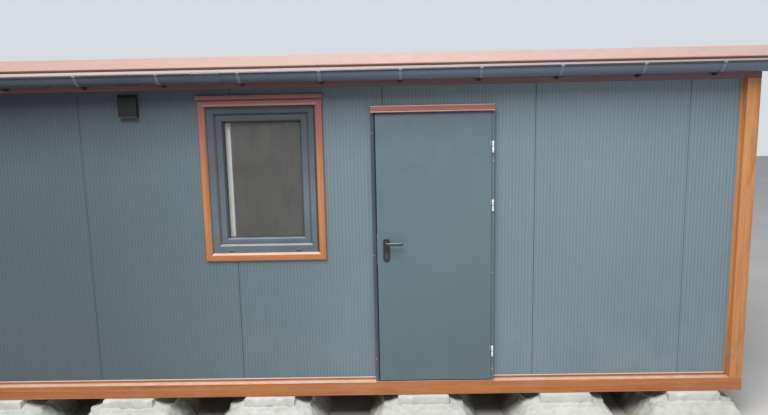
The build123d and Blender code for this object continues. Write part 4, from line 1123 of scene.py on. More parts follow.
# the upstand's top is folded back on itself, in the pale hem coat: a painted highlight
hem = fillet([(-1.2, 390.0), (-6.2, 390.0), (-6.8, 395.0), (-4.6, 399.0), (-1.2, 399.4)], [0, 1.2, 1.5, 1.5, 0], 3, True)
prism(s, hem, "x", -3031.6, 271.6, 1)
prism(s, hem, "x", 1200.4, 3031.6, 1)
prism(s, to_back(hem), "x", -3031.6, 3031.6, 1)
make("base_cover_sheets_long", s, [M["oak_x"], M["hem"]], stands=["base_covers_long"], angle=25)
s = Soup()
for side in (-1, 1):
    a = [(side * (XW - y), z) for y, z in no_upstand]
    b = [(side * (XW - y), z) for y, z in with_upstand]
    prism(s, a, "y", (lambda x, z, side=side: -50.0 + (XC - side * x) + 0.4), 76.9, 0)
    prism(s, b, "y", 77.1, DEPTH - 77.1, 0)
    prism(s, a, "y", DEPTH - 76.9, (lambda x, z, side=side: DEPTH + 50.0 - (XC - side * x) - 0.4), 0)
make("base_cover_sheets_end", s, [M["oak_y"]], stands=["base_covers_end"], angle=25)

# ------------------------------------------------------- corner posts, covers
s = Soup()
for sx in (-1, 1):
    for back in (False, True):
        for (xa, xb, ya, yb) in ((3051.0, XC - 3.0, -47.0, -0.5), (XW + 0.5, XC - 3.0, -0.5, 47.0)):
            xs = sorted((sx * xa, sx * xb))
            ys = sorted(((DEPTH - ya, DEPTH - yb) if back else (ya, yb)))
            prism(s, fillet([(xs[0], ys[0]), (xs[1], ys[0]), (xs[1], ys[1]), (xs[0], ys[1])], 3.0, 3, True), "z", 371.8, lambda u, v: wall_top(v), 0)
make("corner_post_sections", s, [M["steel"]], stands=["corner_posts"])


def cover_top(y):
    if y < 0:
        return FASCIA_Z - 1.0
    if y > DEPTH:
        return wall_top(DEPTH) - 67.0
    return wall_top(y) - 67.0


s = Soup()
line = [(3033.0, -1.8), (3048.0, -1.8), (3048.0, -50.0), (XC, -50.0), (XC, 50.0), (XW + 1.8, 50.0), (XW + 1.8, 76.0)]
cover_line = sheet_outline(line, T, [0, 1.8, 1.8, 2.4, 1.8, 1.8, 0], 5)
for sx in (-1, 1):
    for back in (False, True):
        pts = [(sx * x, DEPTH - y if back else y) for x, y in cover_line]

        prism(s, pts, "z", 372.0, lambda u, v: cover_top(v), 0)
make("corner_cover_sheets", s, [M["oak_z"]], stands=["corner_covers"], angle=25)

# ------------------------------------------------------------ eaves and roof
s = Soup()
for y0, y1 in ((-47.0, -0.5), (DEPTH + 0.5, DEPTH + 47.0)):
    prism(s, [(y0, wall_top(y0) - 65.0), (y1, wall_top(y0) - 65.0), (y1, wall_top(y1)), (y0, wall_top(y0))], "x", -3050.0, 3050.0, 0)
for sx in (-1, 1):
    x0, x1 = sorted((sx * (XW + 0.5), sx * (XC - 3.0)))
    prism(s, [(50.0, wall_top(50.0) - 65.0), (DEPTH - 50.0, wall_top(DEPTH - 50.0) - 65.0), (DEPTH - 50.0, wall_top(DEPTH - 50.0)), (50.0, wall_top(50.0))], "x", x0, x1, 0)
make("eave_beam_sections", s, [M["steel"]], stands=["eave_beams"])

s = Soup()
f_line = sheet_outline([(-4.0, FASCIA_Z + 0.3), (-50.0, FASCIA_Z + 0.3), (-50.0, roof_under(-50) - 0.6)], -1.5, 2.0, 4)
prism(s, f_line, "x", -XC + 0.2, XC - 0.2, 0)
upper = sheet_outline([(-49.9, roof_under(-50) - 1.0), (-49.9, strip_top(-50) - 4.0)], -1.4, 0.6, 2)
prism(s, upper, "x", -XR + 3.5, XR - 3.5, 0)
zb = wall_top(DEPTH + 50) - 65.0
b_line = sheet_outline([(DEPTH + 4.0, zb), (DEPTH + 50.0, zb), (DEPTH + 50.0, roof_under(DEPTH + 48) - 0.6)], 1.5, 2.0, 4)
prism(s, b_line, "x", -XC + 0.2, XC - 0.2, 0)
for sx in (-1, 1):
    # sloping cover on the end walls: a flat sheet with its foot turned in
    ya, yb = -47.0, DEPTH + 47.0
    for (xa, xb, da, db) in ((XC - 1.6, XC, 66.0, 0.0), (XW + 3.0, XC - 0.4, 66.0, 64.6)):
        x0, x1 = sorted((sx * xa, sx * xb))
        prism(s, [(ya, wall_top(ya) - da), (yb, wall_top(yb) - da), (yb, wall_top(yb) - db), (ya, wall_top(ya) - db)], "x", x0, x1, 0)
make("eave_cover_sheets", s, [M["eave"]], stands=["fascias"], angle=25)

# roof panels: red skin above with fine lining and turned joints, white skin below
s = Soup()
RY0, RY1 = -47.2, ROOF_BACK - 3.0
RX = [-XR + 3.5] + ROOF_SEAMS + [XR - 3.5]
for a, b in zip(RX[:-1], RX[1:]):
    x0 = a if a == RX[0] else a + 1.0
    x1 = b if b == RX[-1] else b - 1.0
    cols = [(x0, 4.0, 2.0), (x0 + 1.4, 1.2, 0.6), (x0 + 4.0, 0.0, 0.0)]
    n = int((x1 - x0 - 40) // 50.0)
    st = x0 + ((x1 - x0) - n * 50.0) / 2
    for k in range(n):
        c = st + (k + 0.5) * 50.0
        cols += [(c - 7.0, 0.0, 0.0), (c - 4.0, 0.9, 0.6), (c + 4.0, 0.9, 0.6), (c + 7.0, 0.0, 0.0)]
    cols += [(x1 - 4.0, 0.0, 0.0), (x1 - 1.4, 1.2, 0.6), (x1, 4.0, 2.0)]
    v, f, m = [], [], []
    for u, dt, db in cols:
        v += [(u, FOLD_Y, roof_top(FOLD_Y) - dt), (u, RY1, roof_top(RY1) - dt), (u, RY0, roof_under(RY0) + db), (u, RY1, roof_under(RY1) + db),
              (u, RY0, strip_top(RY0) - 3.6 - dt)]
    nc = len(cols)
    for k in range(nc - 1):
        p, q = 5 * k, 5 * (k + 1)
        f += [[p, q, q + 1, p + 1], [p + 2, q + 2, q + 3, p + 3], [p + 1, q + 1, q + 3, p + 3], [p + 4, q + 4, q, p], [p + 2, q + 2, q + 4, p + 4]]
        m += [0, 1, 2, 2, 2]
    e = 5 * (nc - 1)
    f += [[4, 0, 1, 3, 2], [e + 4, e, e + 1, e + 3, e + 2]]
    m += [2, 2]
    o = len(s.v)
    s.v.extend(v)
    s.f.extend([[i + o for i in q] for q in f])
    s.m.extend(m)
make("roof_panel_skins", s, [M["roof"], M["wall_plain"], M["foam"]], stands=["roof_panels"], angle=20)
s = Soup()
for x in ROOF_SEAMS:
    prism(s, [(RY0 + 1, roof_under(RY0 + 1) + 4), (RY1 - 1, roof_under(RY1 - 1) + 4), (RY1 - 1, roof_top(RY1 - 1) - 4), (FOLD_Y, roof_top(FOLD_Y) - 6), (RY0 + 1, strip_top(RY0) - 9)], "x", x - 0.98, x + 0.98, 0)
make("roof_joint_seals", s, [M["seal"]])

# eave edge sheets: two lengths that lap near the middle
LAP = -330.0
s = Soup()
edge_line = [(E0 + 4.5, STRIP_Z0 - 9.5), (E0, STRIP_Z0 - 11.0), (E0, STRIP_Z0), (FOLD_Y, STRIP_Z1), (CAP_BACK, roof_top(CAP_BACK) + 3.1)]
edge_pts = sheet_outline(edge_line, -1.4, [0, 0.7, 1.6, 4.0, 0], 5)
prism(s, edge_pts, "x", -XR, LAP + 60.0, 0)
over = sheet_outline([(E0 + 4.5, STRIP_Z0 - 11.2), (E0 - 1.4, STRIP_Z0 - 12.5), (E0 - 1.4, STRIP_Z0 + 0.8), (FOLD_Y - 0.4, STRIP_Z1 + 1.6), (CAP_BACK, roof_top(CAP_BACK) + 4.7)], -1.3, [0, 0.7, 1.6, 4.0, 0], 5)
prism(s, over, "x", LAP, XR, 0)
# painted shade: a dark red strip along the foot of the front fold
for x0, x1, dy in ((-XR, LAP, 0.2), (LAP + 0.1, XR, -1.3)):
    prism(s, [(E0 + dy - 0.6, STRIP_Z0 - 5.0), (E0 + dy - 0.6, STRIP_Z0 - 17.0), (E0 + dy + 0.4, STRIP_Z0 - 17.6), (E0 + dy + 2.0, STRIP_Z0 - 16.8), (E0 + dy + 2.0, STRIP_Z0 - 5.0)], "x", x0, x1, 1)
make("roof_edge_front_sheets", s, [M["roof"], M["lip"]], stands=["roof_edge_front"], angle=25)
s = Soup()
ap_line = [(-50.6, 2829.0), (-113.0, 2796.2), (-114.6, 2770.2)]
ap = sheet_outline(ap_line, -1.5, [0, 3.0, 0], 5)
prism(s, ap, "x", -3354.0, LAP + 30.0, 0)
ap2 = sheet_outline([(-50.6, 2830.5), (-114.0, 2797.6), (-116.0, 2770.2)], -1.3, [0, 3.0, 0], 5)
prism(s, ap2, "x", LAP - 20.0, 3354.0, 0)
make("eave_apron_sheets", s, [M["apron"]], stands=["eave_apron"], angle=25)

# verge trims and back edge, with their screws
s = Soup()
V0, V1 = CAP_BACK + 0.8, ROOF_BACK - 3.0
for sx in (-1, 1):
    x0, x1 = sorted((sx * (XR - 1.6), sx * XR))
    ya = -47.2
    prism(s, [(ya, roof_under(ya) - 12), (V1, roof_under(V1) - 12), (V1, roof_top(V1) + 2.4), (V0, roof_top(V0) + 2.4), (V0, roof_top(V0) + 0.2),
              (FOLD_Y, roof_top(FOLD_Y) + 0.2), (ya, strip_top(ya) - 3.4)], "x", x0, x1, 0)
    x0, x1 = sorted((sx * (XR - 12.0), sx * (XR - 0.2)))
    prism(s, [(ya, roof_under(ya) - 12), (V1, roof_under(V1) - 12), (V1, roof_under(V1) - 10.6), (ya, roof_under(ya) - 10.6)], "x", x0, x1, 0)
    x0, x1 = sorted((sx * (XR - 100.0), sx * (XR - 0.2)))
    prism(s, [(V0, roof_top(V0) + 0.8), (V1, roof_top(V1) + 0.8), (V1, roof_top(V1) + 2.4), (V0, roof_top(V0) + 2.4)], "x", x0, x1, 0)
    x0, x1 = sorted((sx * (XR - 100.0), sx * (XR - 98.6)))
    prism(s, [(V0, roof_top(V0) + 0.1), (V1, roof_top(V1) + 0.1), (V1, roof_top(V1) + 2.4), (V0, roof_top(V0) + 2.4)], "x", x0, x1, 0)
up = Vector((0, -SLOPE, 1)).normalized()
scr = Soup()
for sx in (-1, 1):
    for k in range(7):
        y = 150.0 + 370.0 * k
        hex_screw(scr, (sx * (XR - 50.0), y, roof_top(y) + 2.3), up, 0, 1, 8.0, 0.4 * k)
make("verge_trim_sheets", s, [M["roof"]], stands=["verge_trims"], angle=25)
s = Soup()
b = ROOF_BACK
bk = sheet_outline([(b - 10.0, roof_under(b) - 11.0), (b, roof_under(b) - 12.0), (b, roof_top(b) + 4.6), (b - 110.0, roof_top(b - 110.0) + 4.6), (b - 110.0, roof_top(b - 110.0) + 1.0)], 1.5, [0, 0.8, 2.0, 1.0, 0], 4)
prism(s, bk, "x", -XR, XR, 0)
for k in range(12):
    x = -3280.0 + 596.4 * k
    hex_screw(scr, (x, b - 60.0, roof_top(b - 60.0) + 4.5), up, 0, 1, 8.0, 0.7 * k)
make("roof_edge_back_sheet", s, [M["roof"]], stands=["roof_edge_back"], angle=25)
make("roof_screws", scr, [M["roof"], M["seal"]], angle=35)

# -------------------------------------------------------------------- gutter
GY, GZ, GR, GT = -127.5, 2788.0, 75.0, 3.0
BY, BZ, BR = -202.5, 2780.0, 9.0
GH = 3362.0


def tip(p):
    """The gutter's fall to the left."""
    x, y, z = p
    z -= GZ
    c, sn = math.cos(GUT_FALL), math.sin(GUT_FALL)
    return (x * c - z * sn, y, x * sn + z * c + GZ)


def gutter_section(grow=0.0, inner=True, t=GT, back_lip=True):
    """Closed outline of the gutter: back edge, half round, front bead."""
    ro = GR + grow
    out = []
    n = 26
    a0, a1 = 0.0, -math.pi + 0.12
    for k in range(n + 1):
        a = a0 + (a1 - a0) * k / n
        out.append((GY + ro * math.cos(a), GZ + ro * math.sin(a)))
    br = BR + grow
    # round the bead, from its inner side under the front and over the top
    for k in range(15):
        a = math.radians(250) - math.radians(262) * k / 14
        out.append((BY + br * math.cos(a), BZ + br * math.sin(a)))
    ri = ro - t
    for k in range(n + 1):
        a = a1 + 0.10 + (a0 - a1 - 0.10) * k / n
        out.append((GY + ri * math.cos(a), GZ + ri * math.sin(a)))
    return out


sec = gutter_section()
s = Soup()
for x0, x1 in ((-GH, -900.0), (-894.0, GH)):
    prism(s, sec, "x", x0, x1, 0, 8)
    # the bead along the front edge, a little proud, in a darker copy of the gutter plastic: painted shade
    prism(s, [(BY + (BR + 0.35) * math.cos(a), BZ + (BR + 0.35) * math.sin(a)) for a in [2 * math.pi * k / 24 for k in range(24)]], "x", x0 + 0.3, x1 - 0.3, 1, 8)
make("gutter_lengths", s.moved(tip), [M["gutter"], M["bead"]], stands=["gutter"], angle=32)

s = Soup()
for x0, x1 in ((-GH - 3.2, -GH - 0.2), (GH + 0.2, GH + 3.2)):
    pts = [(GY + (GR + 1.5) * math.cos(a), GZ + (GR + 1.5) * math.sin(a)) for a in [-(math.pi) * k / 28 for k in range(29)]]
    pts = [(min(y, -50.6), z) for y, z in pts]
    prism(s, pts, "x", x0, x1, 0)
    bead = [(BY + 10.0 * math.cos(a), BZ + 10.0 * math.sin(a)) for a in [2 * math.pi * k / 18 for k in range(18)]]
    prism(s, bead, "x", x0 + 0.1, x1 - 0.1, 0)
    # the cap's collar grips the gutter
    sx = 1 if x0 > 0 else -1
    col = gutter_section(1.3, t=1.2)
    c0, c1 = sorted((sx * (GH + 0.1), sx * (GH - 22.0)))
    prism(s, [(min(y, -50.6), z) for y, z in col], "x", c0, c1, 0)
make("gutter_cap_pieces", s.moved(tip), [M["gutter"]], stands=["gutter_end_caps"], angle=32)

s = Soup()
U0, U1 = -1001.0, -793.0


def fitting_band(s, x0, x1, grow, t, mat=0):
    col = gutter_section(grow, t=t)
    prism(s, [(min(y, -50.7), z) for y, z in col], "x", x0, x1, mat)


fitting_band(s, U0, U1, 2.6, 2.3)
for a, b in ((U0, U0 + 10.0), (U1 - 10.0, U1), (-903.0, -891.0)):
    fitting_band(s, a, b, 3.6, 1.6)
fitting_band(s, -3160.0, -3010.0, 2.6, 2.3)
for a, b in ((-3160.0, -3150.0), (-3020.0, -3010.0)):
    fitting_band(s, a, b, 3.6, 1.6)
PX, PR = -3085.0, 40.0
lathe(s, [(46.0, 22.0), (PR + 5.6, 8.0), (PR + 4.0, -10.0), (PR + 4.0, -66.0), (PR + 5.5, -68.0), (PR + 5.5, -75.0), (PR + 0.6, -75.0), (PR + 0.4, -12.0), (PR - 3.6, 0.0), (PR - 3.6, 6.0), (42.0, 22.0)], (PX, GY, GZ - GR), (0, 0, 1), 36, 0)
make("gutter_union_outlet", s.moved(tip), [M["gutter"]], stands=["gutter_fittings"], angle=32)

# brackets: a strap round the gutter that clips over the bead, a foot under it and a back plate with a screw
s = Soup()
BX = [-2960.0, -2425.0, -1839.0, -1250.0, -663.0, -81.0, 500.0, 1077.0, 1650.0, 2236.0, 2793.0]
for cx in BX:
    b = Soup()
    w = 12.0
    n = 30
    a1 = -math.pi + 0.09
    for g0, g1, ww in ((0.5, 3.2, w), (0.5, 4.4, 3.0)):
        col = []
        for k in range(n + 1):
            a = a1 * k / n
            col.append((GY + (GR + g1) * math.cos(a), GZ + (GR + g1) * math.sin(a)))
        for k in range(15):
            a = math.radians(245) - math.radians(262) * k / 14
            col.append((BY + (BR + g1 - 0.2) * math.cos(a), BZ + (BR + g1 - 0.2) * math.sin(a)))
        for k in range(15):
            a = math.radians(-17) + math.radians(262) * k / 14
            col.append((BY + (BR + g0) * math.cos(a), BZ + (BR + g0) * math.sin(a)))
        for k in range(n + 1):
            a = a1 - a1 * k / n
            col.append((GY + (GR + g0) * math.cos(a), GZ + (GR + g0) * math.sin(a)))
        prism(b, [(min(y, -50.8), z) for y, z in col], "x", cx - ww, cx + ww, 0)
    # foot under the gutter: two thin cheeks and the lip between them, in a near-black copy of the bracket plastic:
    # painted shade
    arc = [(GY + (GR + 1.0) * math.cos(a), GZ + (GR + 1.0) * math.sin(a)) for a in [math.radians(t) for t in range(-74, -23, 5)]]
    heel = [(GY + (GR + 8.0) * math.cos(a), GZ + (GR + 8.0) * math.sin(a)) for a in [math.radians(t) for t in (-76, -84, -92, -100)]]
    toe = [(GY + (GR + 1.0) * math.cos(a), GZ + (GR + 1.0) * math.sin(a)) for a in [math.radians(t) for t in (-108, -100, -92, -84)]]
    foot = [(-58.0, 2694.6)] + heel + toe + arc + [(-56.0, 2756.0)]
    for x0 in (cx - w + 1.0, cx + w - 3.4):
        prism(b, foot, "x", x0, x0 + 2.4, 2)
    prism(b, [(-58.0, 2694.6), (-104.0, 2706.0), (-103.0, 2708.4), (-58.0, 2697.2)], "x", cx - w + 3.3, cx + w - 3.3, 2)
    # back plate
    prism(b, rounded(6.4, 88.0, 1.6, 3, -54.0, 2739.0), "x", cx - w, cx + w, 0)
    lathe(b, [(0, 0), (4.2, 0), (4.2, 1.2), (2.6, 2.2), (0, 2.4)], (cx, -57.2, 2703.0), (0, -1, 0), 16, 1)
    s.take(b)
make("gutter_bracket_clips", s.moved(tip), [M["clip"], M["zinc"], M["foot"]], stands=["gutter_brackets"], angle=32)

# downpipe with a socket, a bend and its clips
s = Soup()
PIPE_TOP = GZ - GR - 24.0
path = [(PX, GY, PIPE_TOP)] + [(PX, GY, z) for z in np.linspace(PIPE_TOP - 4, 395.0, 12)]
for k in range(1, 10):
    a = math.radians(45) * k / 9
    path.append((PX, GY - 80.0 * (1 - math.cos(a)), 395.0 - 80.0 * math.sin(a)))
last = Vector(path[-1])
d = Vector((0, -math.sin(math.radians(45)), -math.cos(math.radians(45))))
path += [(last + d * t)[:] for t in (20, 45, 76)]
tube(s, path, PR, 32, 0, inner=3.0)
for z, l, g in ((1190.0, 62.0, 3.4), (430.0, 48.0, 3.2)):
    lathe(s, [(PR + 0.2, 0), (PR + g, 0), (PR + g, l - 8), (PR + g + 1.8, l - 7), (PR + g + 1.8, l), (PR + 0.2, l)], (PX, GY, z), (0, 0, 1), 32, 0)
make("downpipe_lengths", s, [M["pipe"]], stands=["downpipe"], angle=32)
s = Soup()
for cz in (700.0, 1500.0, 2300.0):
    lathe(s, [(PR + 0.5, -12.5), (PR + 3.6, -12.5), (PR + 4.0, -11.0), (PR + 4.0, 11.0), (PR + 3.6, 12.5), (PR + 0.5, 12.5)], (PX, GY, cz), (0, 0, 1), 36, 0)
    rbox(s, PX - 13, PX + 13, GY + PR + 2, -50.5, cz - 12.5, cz + 12.5, 2.0, 2, 0)
    for sx in (-1, 1):
        rbox(s, PX + sx * (PR + 9) - 7, PX + sx * (PR + 9) + 7, GY - 5, GY + 5, cz - 10, cz + 10, 1.5, 2, 0)
        lathe(s, [(0, 0), (3.6, 0), (3.6, 2.0), (0, 2.4)], (PX + sx * (PR + 10), GY - 4.8, cz), (0, -1, 0), 12, 1)
make("downpipe_clip_pieces", s, [M["clip"], M["zinc"]], stands=["downpipe_clips"], angle=32)

# -------------------------------------------------------------------- window
FRAME = (WX - 432.5, WX + 432.5, 1400.0, 2565.0)
SASH = (WX - 348.5, WX + 348.5, 1495.5, 2486.5)

s = Soup()
frame_line = fillet([(0, 2.0), (69.0, 2.0), (81.0, 17.0), (82.5, 19.0), (82.5, 72.0), (0, 72.0)], [0, 2.5, 1.5, 1.0, 1.5, 1.0], 4, closed=True)
mitred(s, *FRAME, frame_line, g=0.10, kb=94.0 / 82.5, kt=77.0 / 82.5)
make("window_frame_members", s, [M["pvc"]], stands=["window_frame"], angle=24)

s = Soup()
KB, KT = 0.77, 0.957
sash_line = fillet([(0, 20.0), (43.5, 20.0), (46.5, 23.0), (56.5, 44.0), (56.5, 84.0), (0, 84.0)], [2.0, 2.0, 2.0, 1.5, 1.5, 1.5], 4, closed=True)
mitred(s, *SASH, sash_line, g=0.10, kb=KB, kt=KT)
make("window_sash_members", s, [M["pvc"]], stands=["window_sash"], angle=24)

s = Soup()
ring_sweep(s, *SASH, [(-1.35, 24.0), (-0.1, 24.0), (-0.1, 60.0), (-1.35, 60.0)])
ring_sweep(s, *SASH, fillet([(56.6, 42.5), (59.2, 44.8), (59.2, 45.9), (56.6, 45.9)], [0.8, 0.8, 0, 0], 3, True), kb=KB, kt=KT)
ring_sweep(s, *SASH, fillet([(56.6, 70.1), (59.2, 70.1), (59.2, 71.3), (56.6, 74.5)], [0, 0, 0.8, 0.8], 3, True), kb=KB, kt=KT)
# the seal between the sash's lip and the frame
ring_sweep(s, *SASH, fillet([(-1.3, 19.4), (1.2, 18.6), (2.2, 19.9), (-0.2, 21.4)], [0.4, 0.4, 0.3, 0.3], 2, True))
make("window_seals", s, [M["seal"]])

s = Soup()
GL = (WX - 291.8, WX + 291.8, 1539.2, 2432.2)
rbox(s, GL[0], GL[1], 46.0, 50.0, GL[2], GL[3], 0.5, 1, 0)
rbox(s, GL[0], GL[1], 66.0, 70.0, GL[2], GL[3], 0.5, 1, 0)
make("window_panes", s, [M["glass"]], stands=["window_glass"])
s = Soup()
ring_sweep(s, *GL, [(0.3, 50.1), (4.6, 50.1), (4.6, 65.9), (0.3, 65.9)])
make("window_spacer", s, [M["dark"]])

s = Soup()
for cx in (-832.0, -307.0):
    rbox(s, cx - 21.0, cx + 21.0, -2.6, 1.9, 1438.0, 1451.0, 2.4, 3, 0)
    rbox(s, cx - 16.0, cx + 16.0, -1.8, 0.0, 1435.6, 1438.4, 0.6, 1, 1)
make("window_drain_caps", s, [M["pvc"], M["dark"]], angle=35)

s = Soup()
trim_side = sheet_outline([(0.0, -0.5), (0.0, -12.0), (6.5, -18.0), (49.5, -18.0), (57.0, -9.0), (57.0, 1.2)], 1.5, [0, 1.5, 1.8, 2.0, 1.5, 0], 4)
trim_low = sheet_outline([(0.0, -0.5), (0.0, -18.0), (43.0, -18.0), (58.0, -1.0), (58.0, 1.2)], 1.5, [0, 2.0, 2.0, 1.5, 0], 4)
trim_top = sheet_outline([(0.0, -0.5), (0.0, -5.0), (15.0, -5.0), (18.0, -17.0), (37.0, -17.0), (49.5, -24.0), (53.0, -24.0), (53.0, 1.2)], 1.5, [0, 1.5, 1.5, 1.8, 3.0, 1.2, 1.2, 0], 4)
TRIM = (WX - 471.0, WX + 471.0, 1366.0, 2604.0)
mitred(s, *TRIM, trim_low, g=0.18, mat=0, sides="B")
mitred(s, *TRIM, trim_top, g=0.18, mat=0, sides="T", kt=1.0)
mitred(s, *TRIM, trim_side, g=0.18, mat=1, sides="LR", kb=1.0, kt=54.0 / 57.0)
# drip cap over the window: a folded sheet with a groove, a fall to the front and a turned-down lip
cap = sheet_outline([(-0.5, 2634.0), (-27.0, 2631.5), (-32.0, 2627.0), (-32.0, 2605.5), (-25.0, 2601.0), (-18.5, 2600.6)], 1.5, [0, 2.5, 2.5, 1.6, 1.6, 0], 4)
prism(s, cap, "x", WX - 477.0, WX + 477.0, 0)
for sx in (-1, 1):
    side_cap = [(-0.5, 2605.0), (-0.5, 2633.0), (-26.0, 2630.8), (-31.0, 2626.6), (-31.0, 2606.0), (-25.0, 2602.0), (-18.5, 2601.6)]
    x0, x1 = sorted((WX + sx * 475.4, WX + sx * 476.8))
    prism(s, side_cap, "x", x0, x1, 0)
make("window_trim_sheets", s, [M["oak_x"], M["oak_w"]], stands=["window_trim"], angle=25)

# painted shadow: a dark strip in the corner between the trim and the frame, at the top and the right, where the trim
# casts its shade
s = Soup()
prism(s, fillet([(1.9, 2549.0), (-4.5, 2549.0), (-2.0, 2538.0), (1.9, 2535.0)], [0, 1.5, 2.0, 0], 3, True), "x", WX - 405.0, WX + 413.0, 0)
prism(s, fillet([(WX + 413.2, 1.9), (WX + 413.2, -4.5), (WX + 402.0, -2.0), (WX + 399.0, 1.9)], [0, 1.5, 2.0, 0], 3, True), "z", 1426.0, 2537.0, 0)
make("window_trim_shade_strip", s, [M["bead"]], angle=30)

s = Soup()
LIN = (WX - 255.0, WX + 303.0, 1523.0, 2439.0)


def lining_ring(s, outer, inner, y0, y1, r):
    """A flat frame between two rectangles, mitred at the corners, with rounded edges on the inside and outside."""
    ox0, ox1, oz0, oz1 = outer
    ix0, ix1, iz0, iz1 = inner
    q = [((ox0, oz0), (ix0, iz0)), ((ox1, oz0), (ix1, iz0)), ((ox1, oz1), (ix1, iz1)), ((ox0, oz1), (ix0, iz1))]
    for a in range(4):
        b = (a + 1) % 4
        sec = fillet([(0.0, y0), (1.0, y0), (1.0, y1), (0.0, y1)], 0.0, 2, True)
        verts = []
        for (po, pi) in (q[a], q[b]):
            wdt = math.hypot(pi[0] - po[0], pi[1] - po[1])
            e = r / max(wdt, 1.0)
            for t, y in ((0, y0), (1, y0), (1, y1 - r), (1 - 0.3 * e, y1 - 0.3 * r), (1 - e, y1), (e, y1), (0.3 * e, y1 - 0.3 * r), (0, y1 - r)):
                verts.append((po[0] + (pi[0] - po[0]) * t, y, po[1] + (pi[1] - po[1]) * t))
        n = 8
        s.add(verts, [[i, (i + 1) % n, n + (i + 1) % n, n + i] for i in range(n)] + [list(range(n)), [n + i for i in range(n)]], 0)


lining_ring(s, (WX - 492.5, WX + 492.5, 1340.0, 2625.0), LIN, 100.4, 112.0, 2.5)
lining_ring(s, (WX - 436.0, WX + 436.0, 1396.5, 2568.5), LIN, 85.0, 100.3, 0.8)
make("window_lining_boards", s, [M["white"]], stands=["window_lining"], angle=30)

# ----------------------------------------------------------------- wall vent
VX0, VX1, VZ0, VZ1, VD = -1619.0, -1478.0, 2483.0, 2648.0, 34.0
bm = bmesh.new()
prof = [(-0.5, VZ0), (-VD, VZ0), (-VD, VZ1 - 12.0), (-VD + 12.0, VZ1), (-0.5, VZ1)]
rows = [[bm.verts.new((x, y, z)) for y, z in prof] for x in (VX0, VX1)]
for i in range(1, 4):
    bm.faces.new([rows[0][i], rows[0][i + 1], rows[1][i + 1], rows[1][i]])
for r in rows:
    bm.faces.new(r)
soft = [e for e in bm.edges if len(e.link_faces) == 2]
bmesh.ops.bevel(bm, geom=soft, offset=3.5, segments=4, profile=0.5, affect="EDGES")
bmesh.ops.recalc_face_normals(bm, faces=bm.faces)
mid = sum((f.calc_center_median() for f in bm.faces), Vector()) / len(bm.faces)
big = max(bm.faces, key=lambda f: f.calc_area())
if big.normal.dot(big.calc_center_median() - mid) < 0:
    bmesh.ops.reverse_faces(bm, faces=bm.faces)
bmesh.ops.solidify(bm, geom=bm.faces[:], thickness=2.6)
bm.verts.index_update()
s = Soup()
s.add([v.co[:] for v in bm.verts], [[v.index for v in f.verts] for f in bm.faces], 0)
bm.free()
# a flat lip on the wall and slanting slats under the hood
rbox(s, VX0 + 6, VX1 - 6, -3.4, -0.4, VZ0 + 3, VZ1 - 6, 0.8, 1, 0)
for k in range(3):
    z = VZ0 + 12.0 + 15.0 * k
    prism(s, [(-5.0, z + 7.0), (-VD + 4.0, z), (-VD + 4.0, z + 1.6), (-5.0, z + 8.6)], "x", VX0 + 4.0, VX1 - 4.0, 0)
# a turned lip round the mouth
prism(s, [(-VD - 0.6, VZ0 - 0.2), (-VD + 3.0, VZ0 - 0.2), (-VD + 3.0, VZ0 + 5.0), (-VD - 0.6, VZ0 + 5.0)], "x", VX0 + 0.5, VX1 - 0.5, 1)
make("vent_hood_shell", s, [M["vent"], M["vent_lip"]], stands=["vent_hood"], angle=35)

# ---------------------------------------------------------------------- door
JX0, JX1, JI0, JI1 = 273.0, 1199.0, 300.0, 1184.0
LX0, LX1, LY0, LZ0, LZ1 = 306.0, 1178.0, -45.0, 384.0, 2477.0
SILL, HEAD0, HEAD1 = 378.3, 2482.5, 2520.0

s = Soup()
left = fillet([(JX0, 99.8), (JX0, -35.0), (275.5, -38.5), (281.5, -38.5), (283.0, -42.0), (284.5, -45.0), (292.0, -45.0), (293.6, -42.5), (294.0, -33.0), (JI0, -33.0), (JI0, 6.0), (JI0 + 24, 6.0), (JI0 + 24, 46.0), (JI0, 46.0), (JI0, 99.8)],
              [1.2, 1.5, 1.2, 1.0, 1.0, 1.4, 1.4, 0.8, 0.8, 1.0, 0.6, 1.2, 1.2, 0.6, 1.2], 3, True)
prism(s, left, "z", SILL, HEAD0, 0)
right = fillet([(JX1, 99.8), (JX1, -40.0), (JX1 - 2.5, -45.0), (JI1, -45.0), (JI1, 6.0), (JI1 - 24, 6.0), (JI1 - 24, 46.0), (JI1, 46.0), (JI1, 99.8)],
               [1.2, 1.5, 1.5, 1.2, 0.6, 1.2, 1.2, 0.6, 1.2], 3, True)
prism(s, right, "z", SILL, HEAD0, 1)
rbox(s, JI1 - 4.3, JI1 - 0.2, -42.4, -36.0, SILL, HEAD0, 0.8, 2, 1)      # the frame's fold beside the leaf
prism(s, [(-44.9, HEAD0 + 0.15), (99.8, HEAD0 + 0.15), (99.8, HEAD1), (-44.9, HEAD1)], "x", JX0, JX1, 0)
prism(s, fillet([(6.0, HEAD0 - 24), (46.0, HEAD0 - 24), (46.0, HEAD0 - 0.2), (6.0, HEAD0 - 0.2)], 1.2, 3, True), "x", JI0 + 24.1, JI1 - 24.1, 0)
make("door_frame_members", s, [M["jamb"], M["door"]], stands=["door_frame"], angle=26)

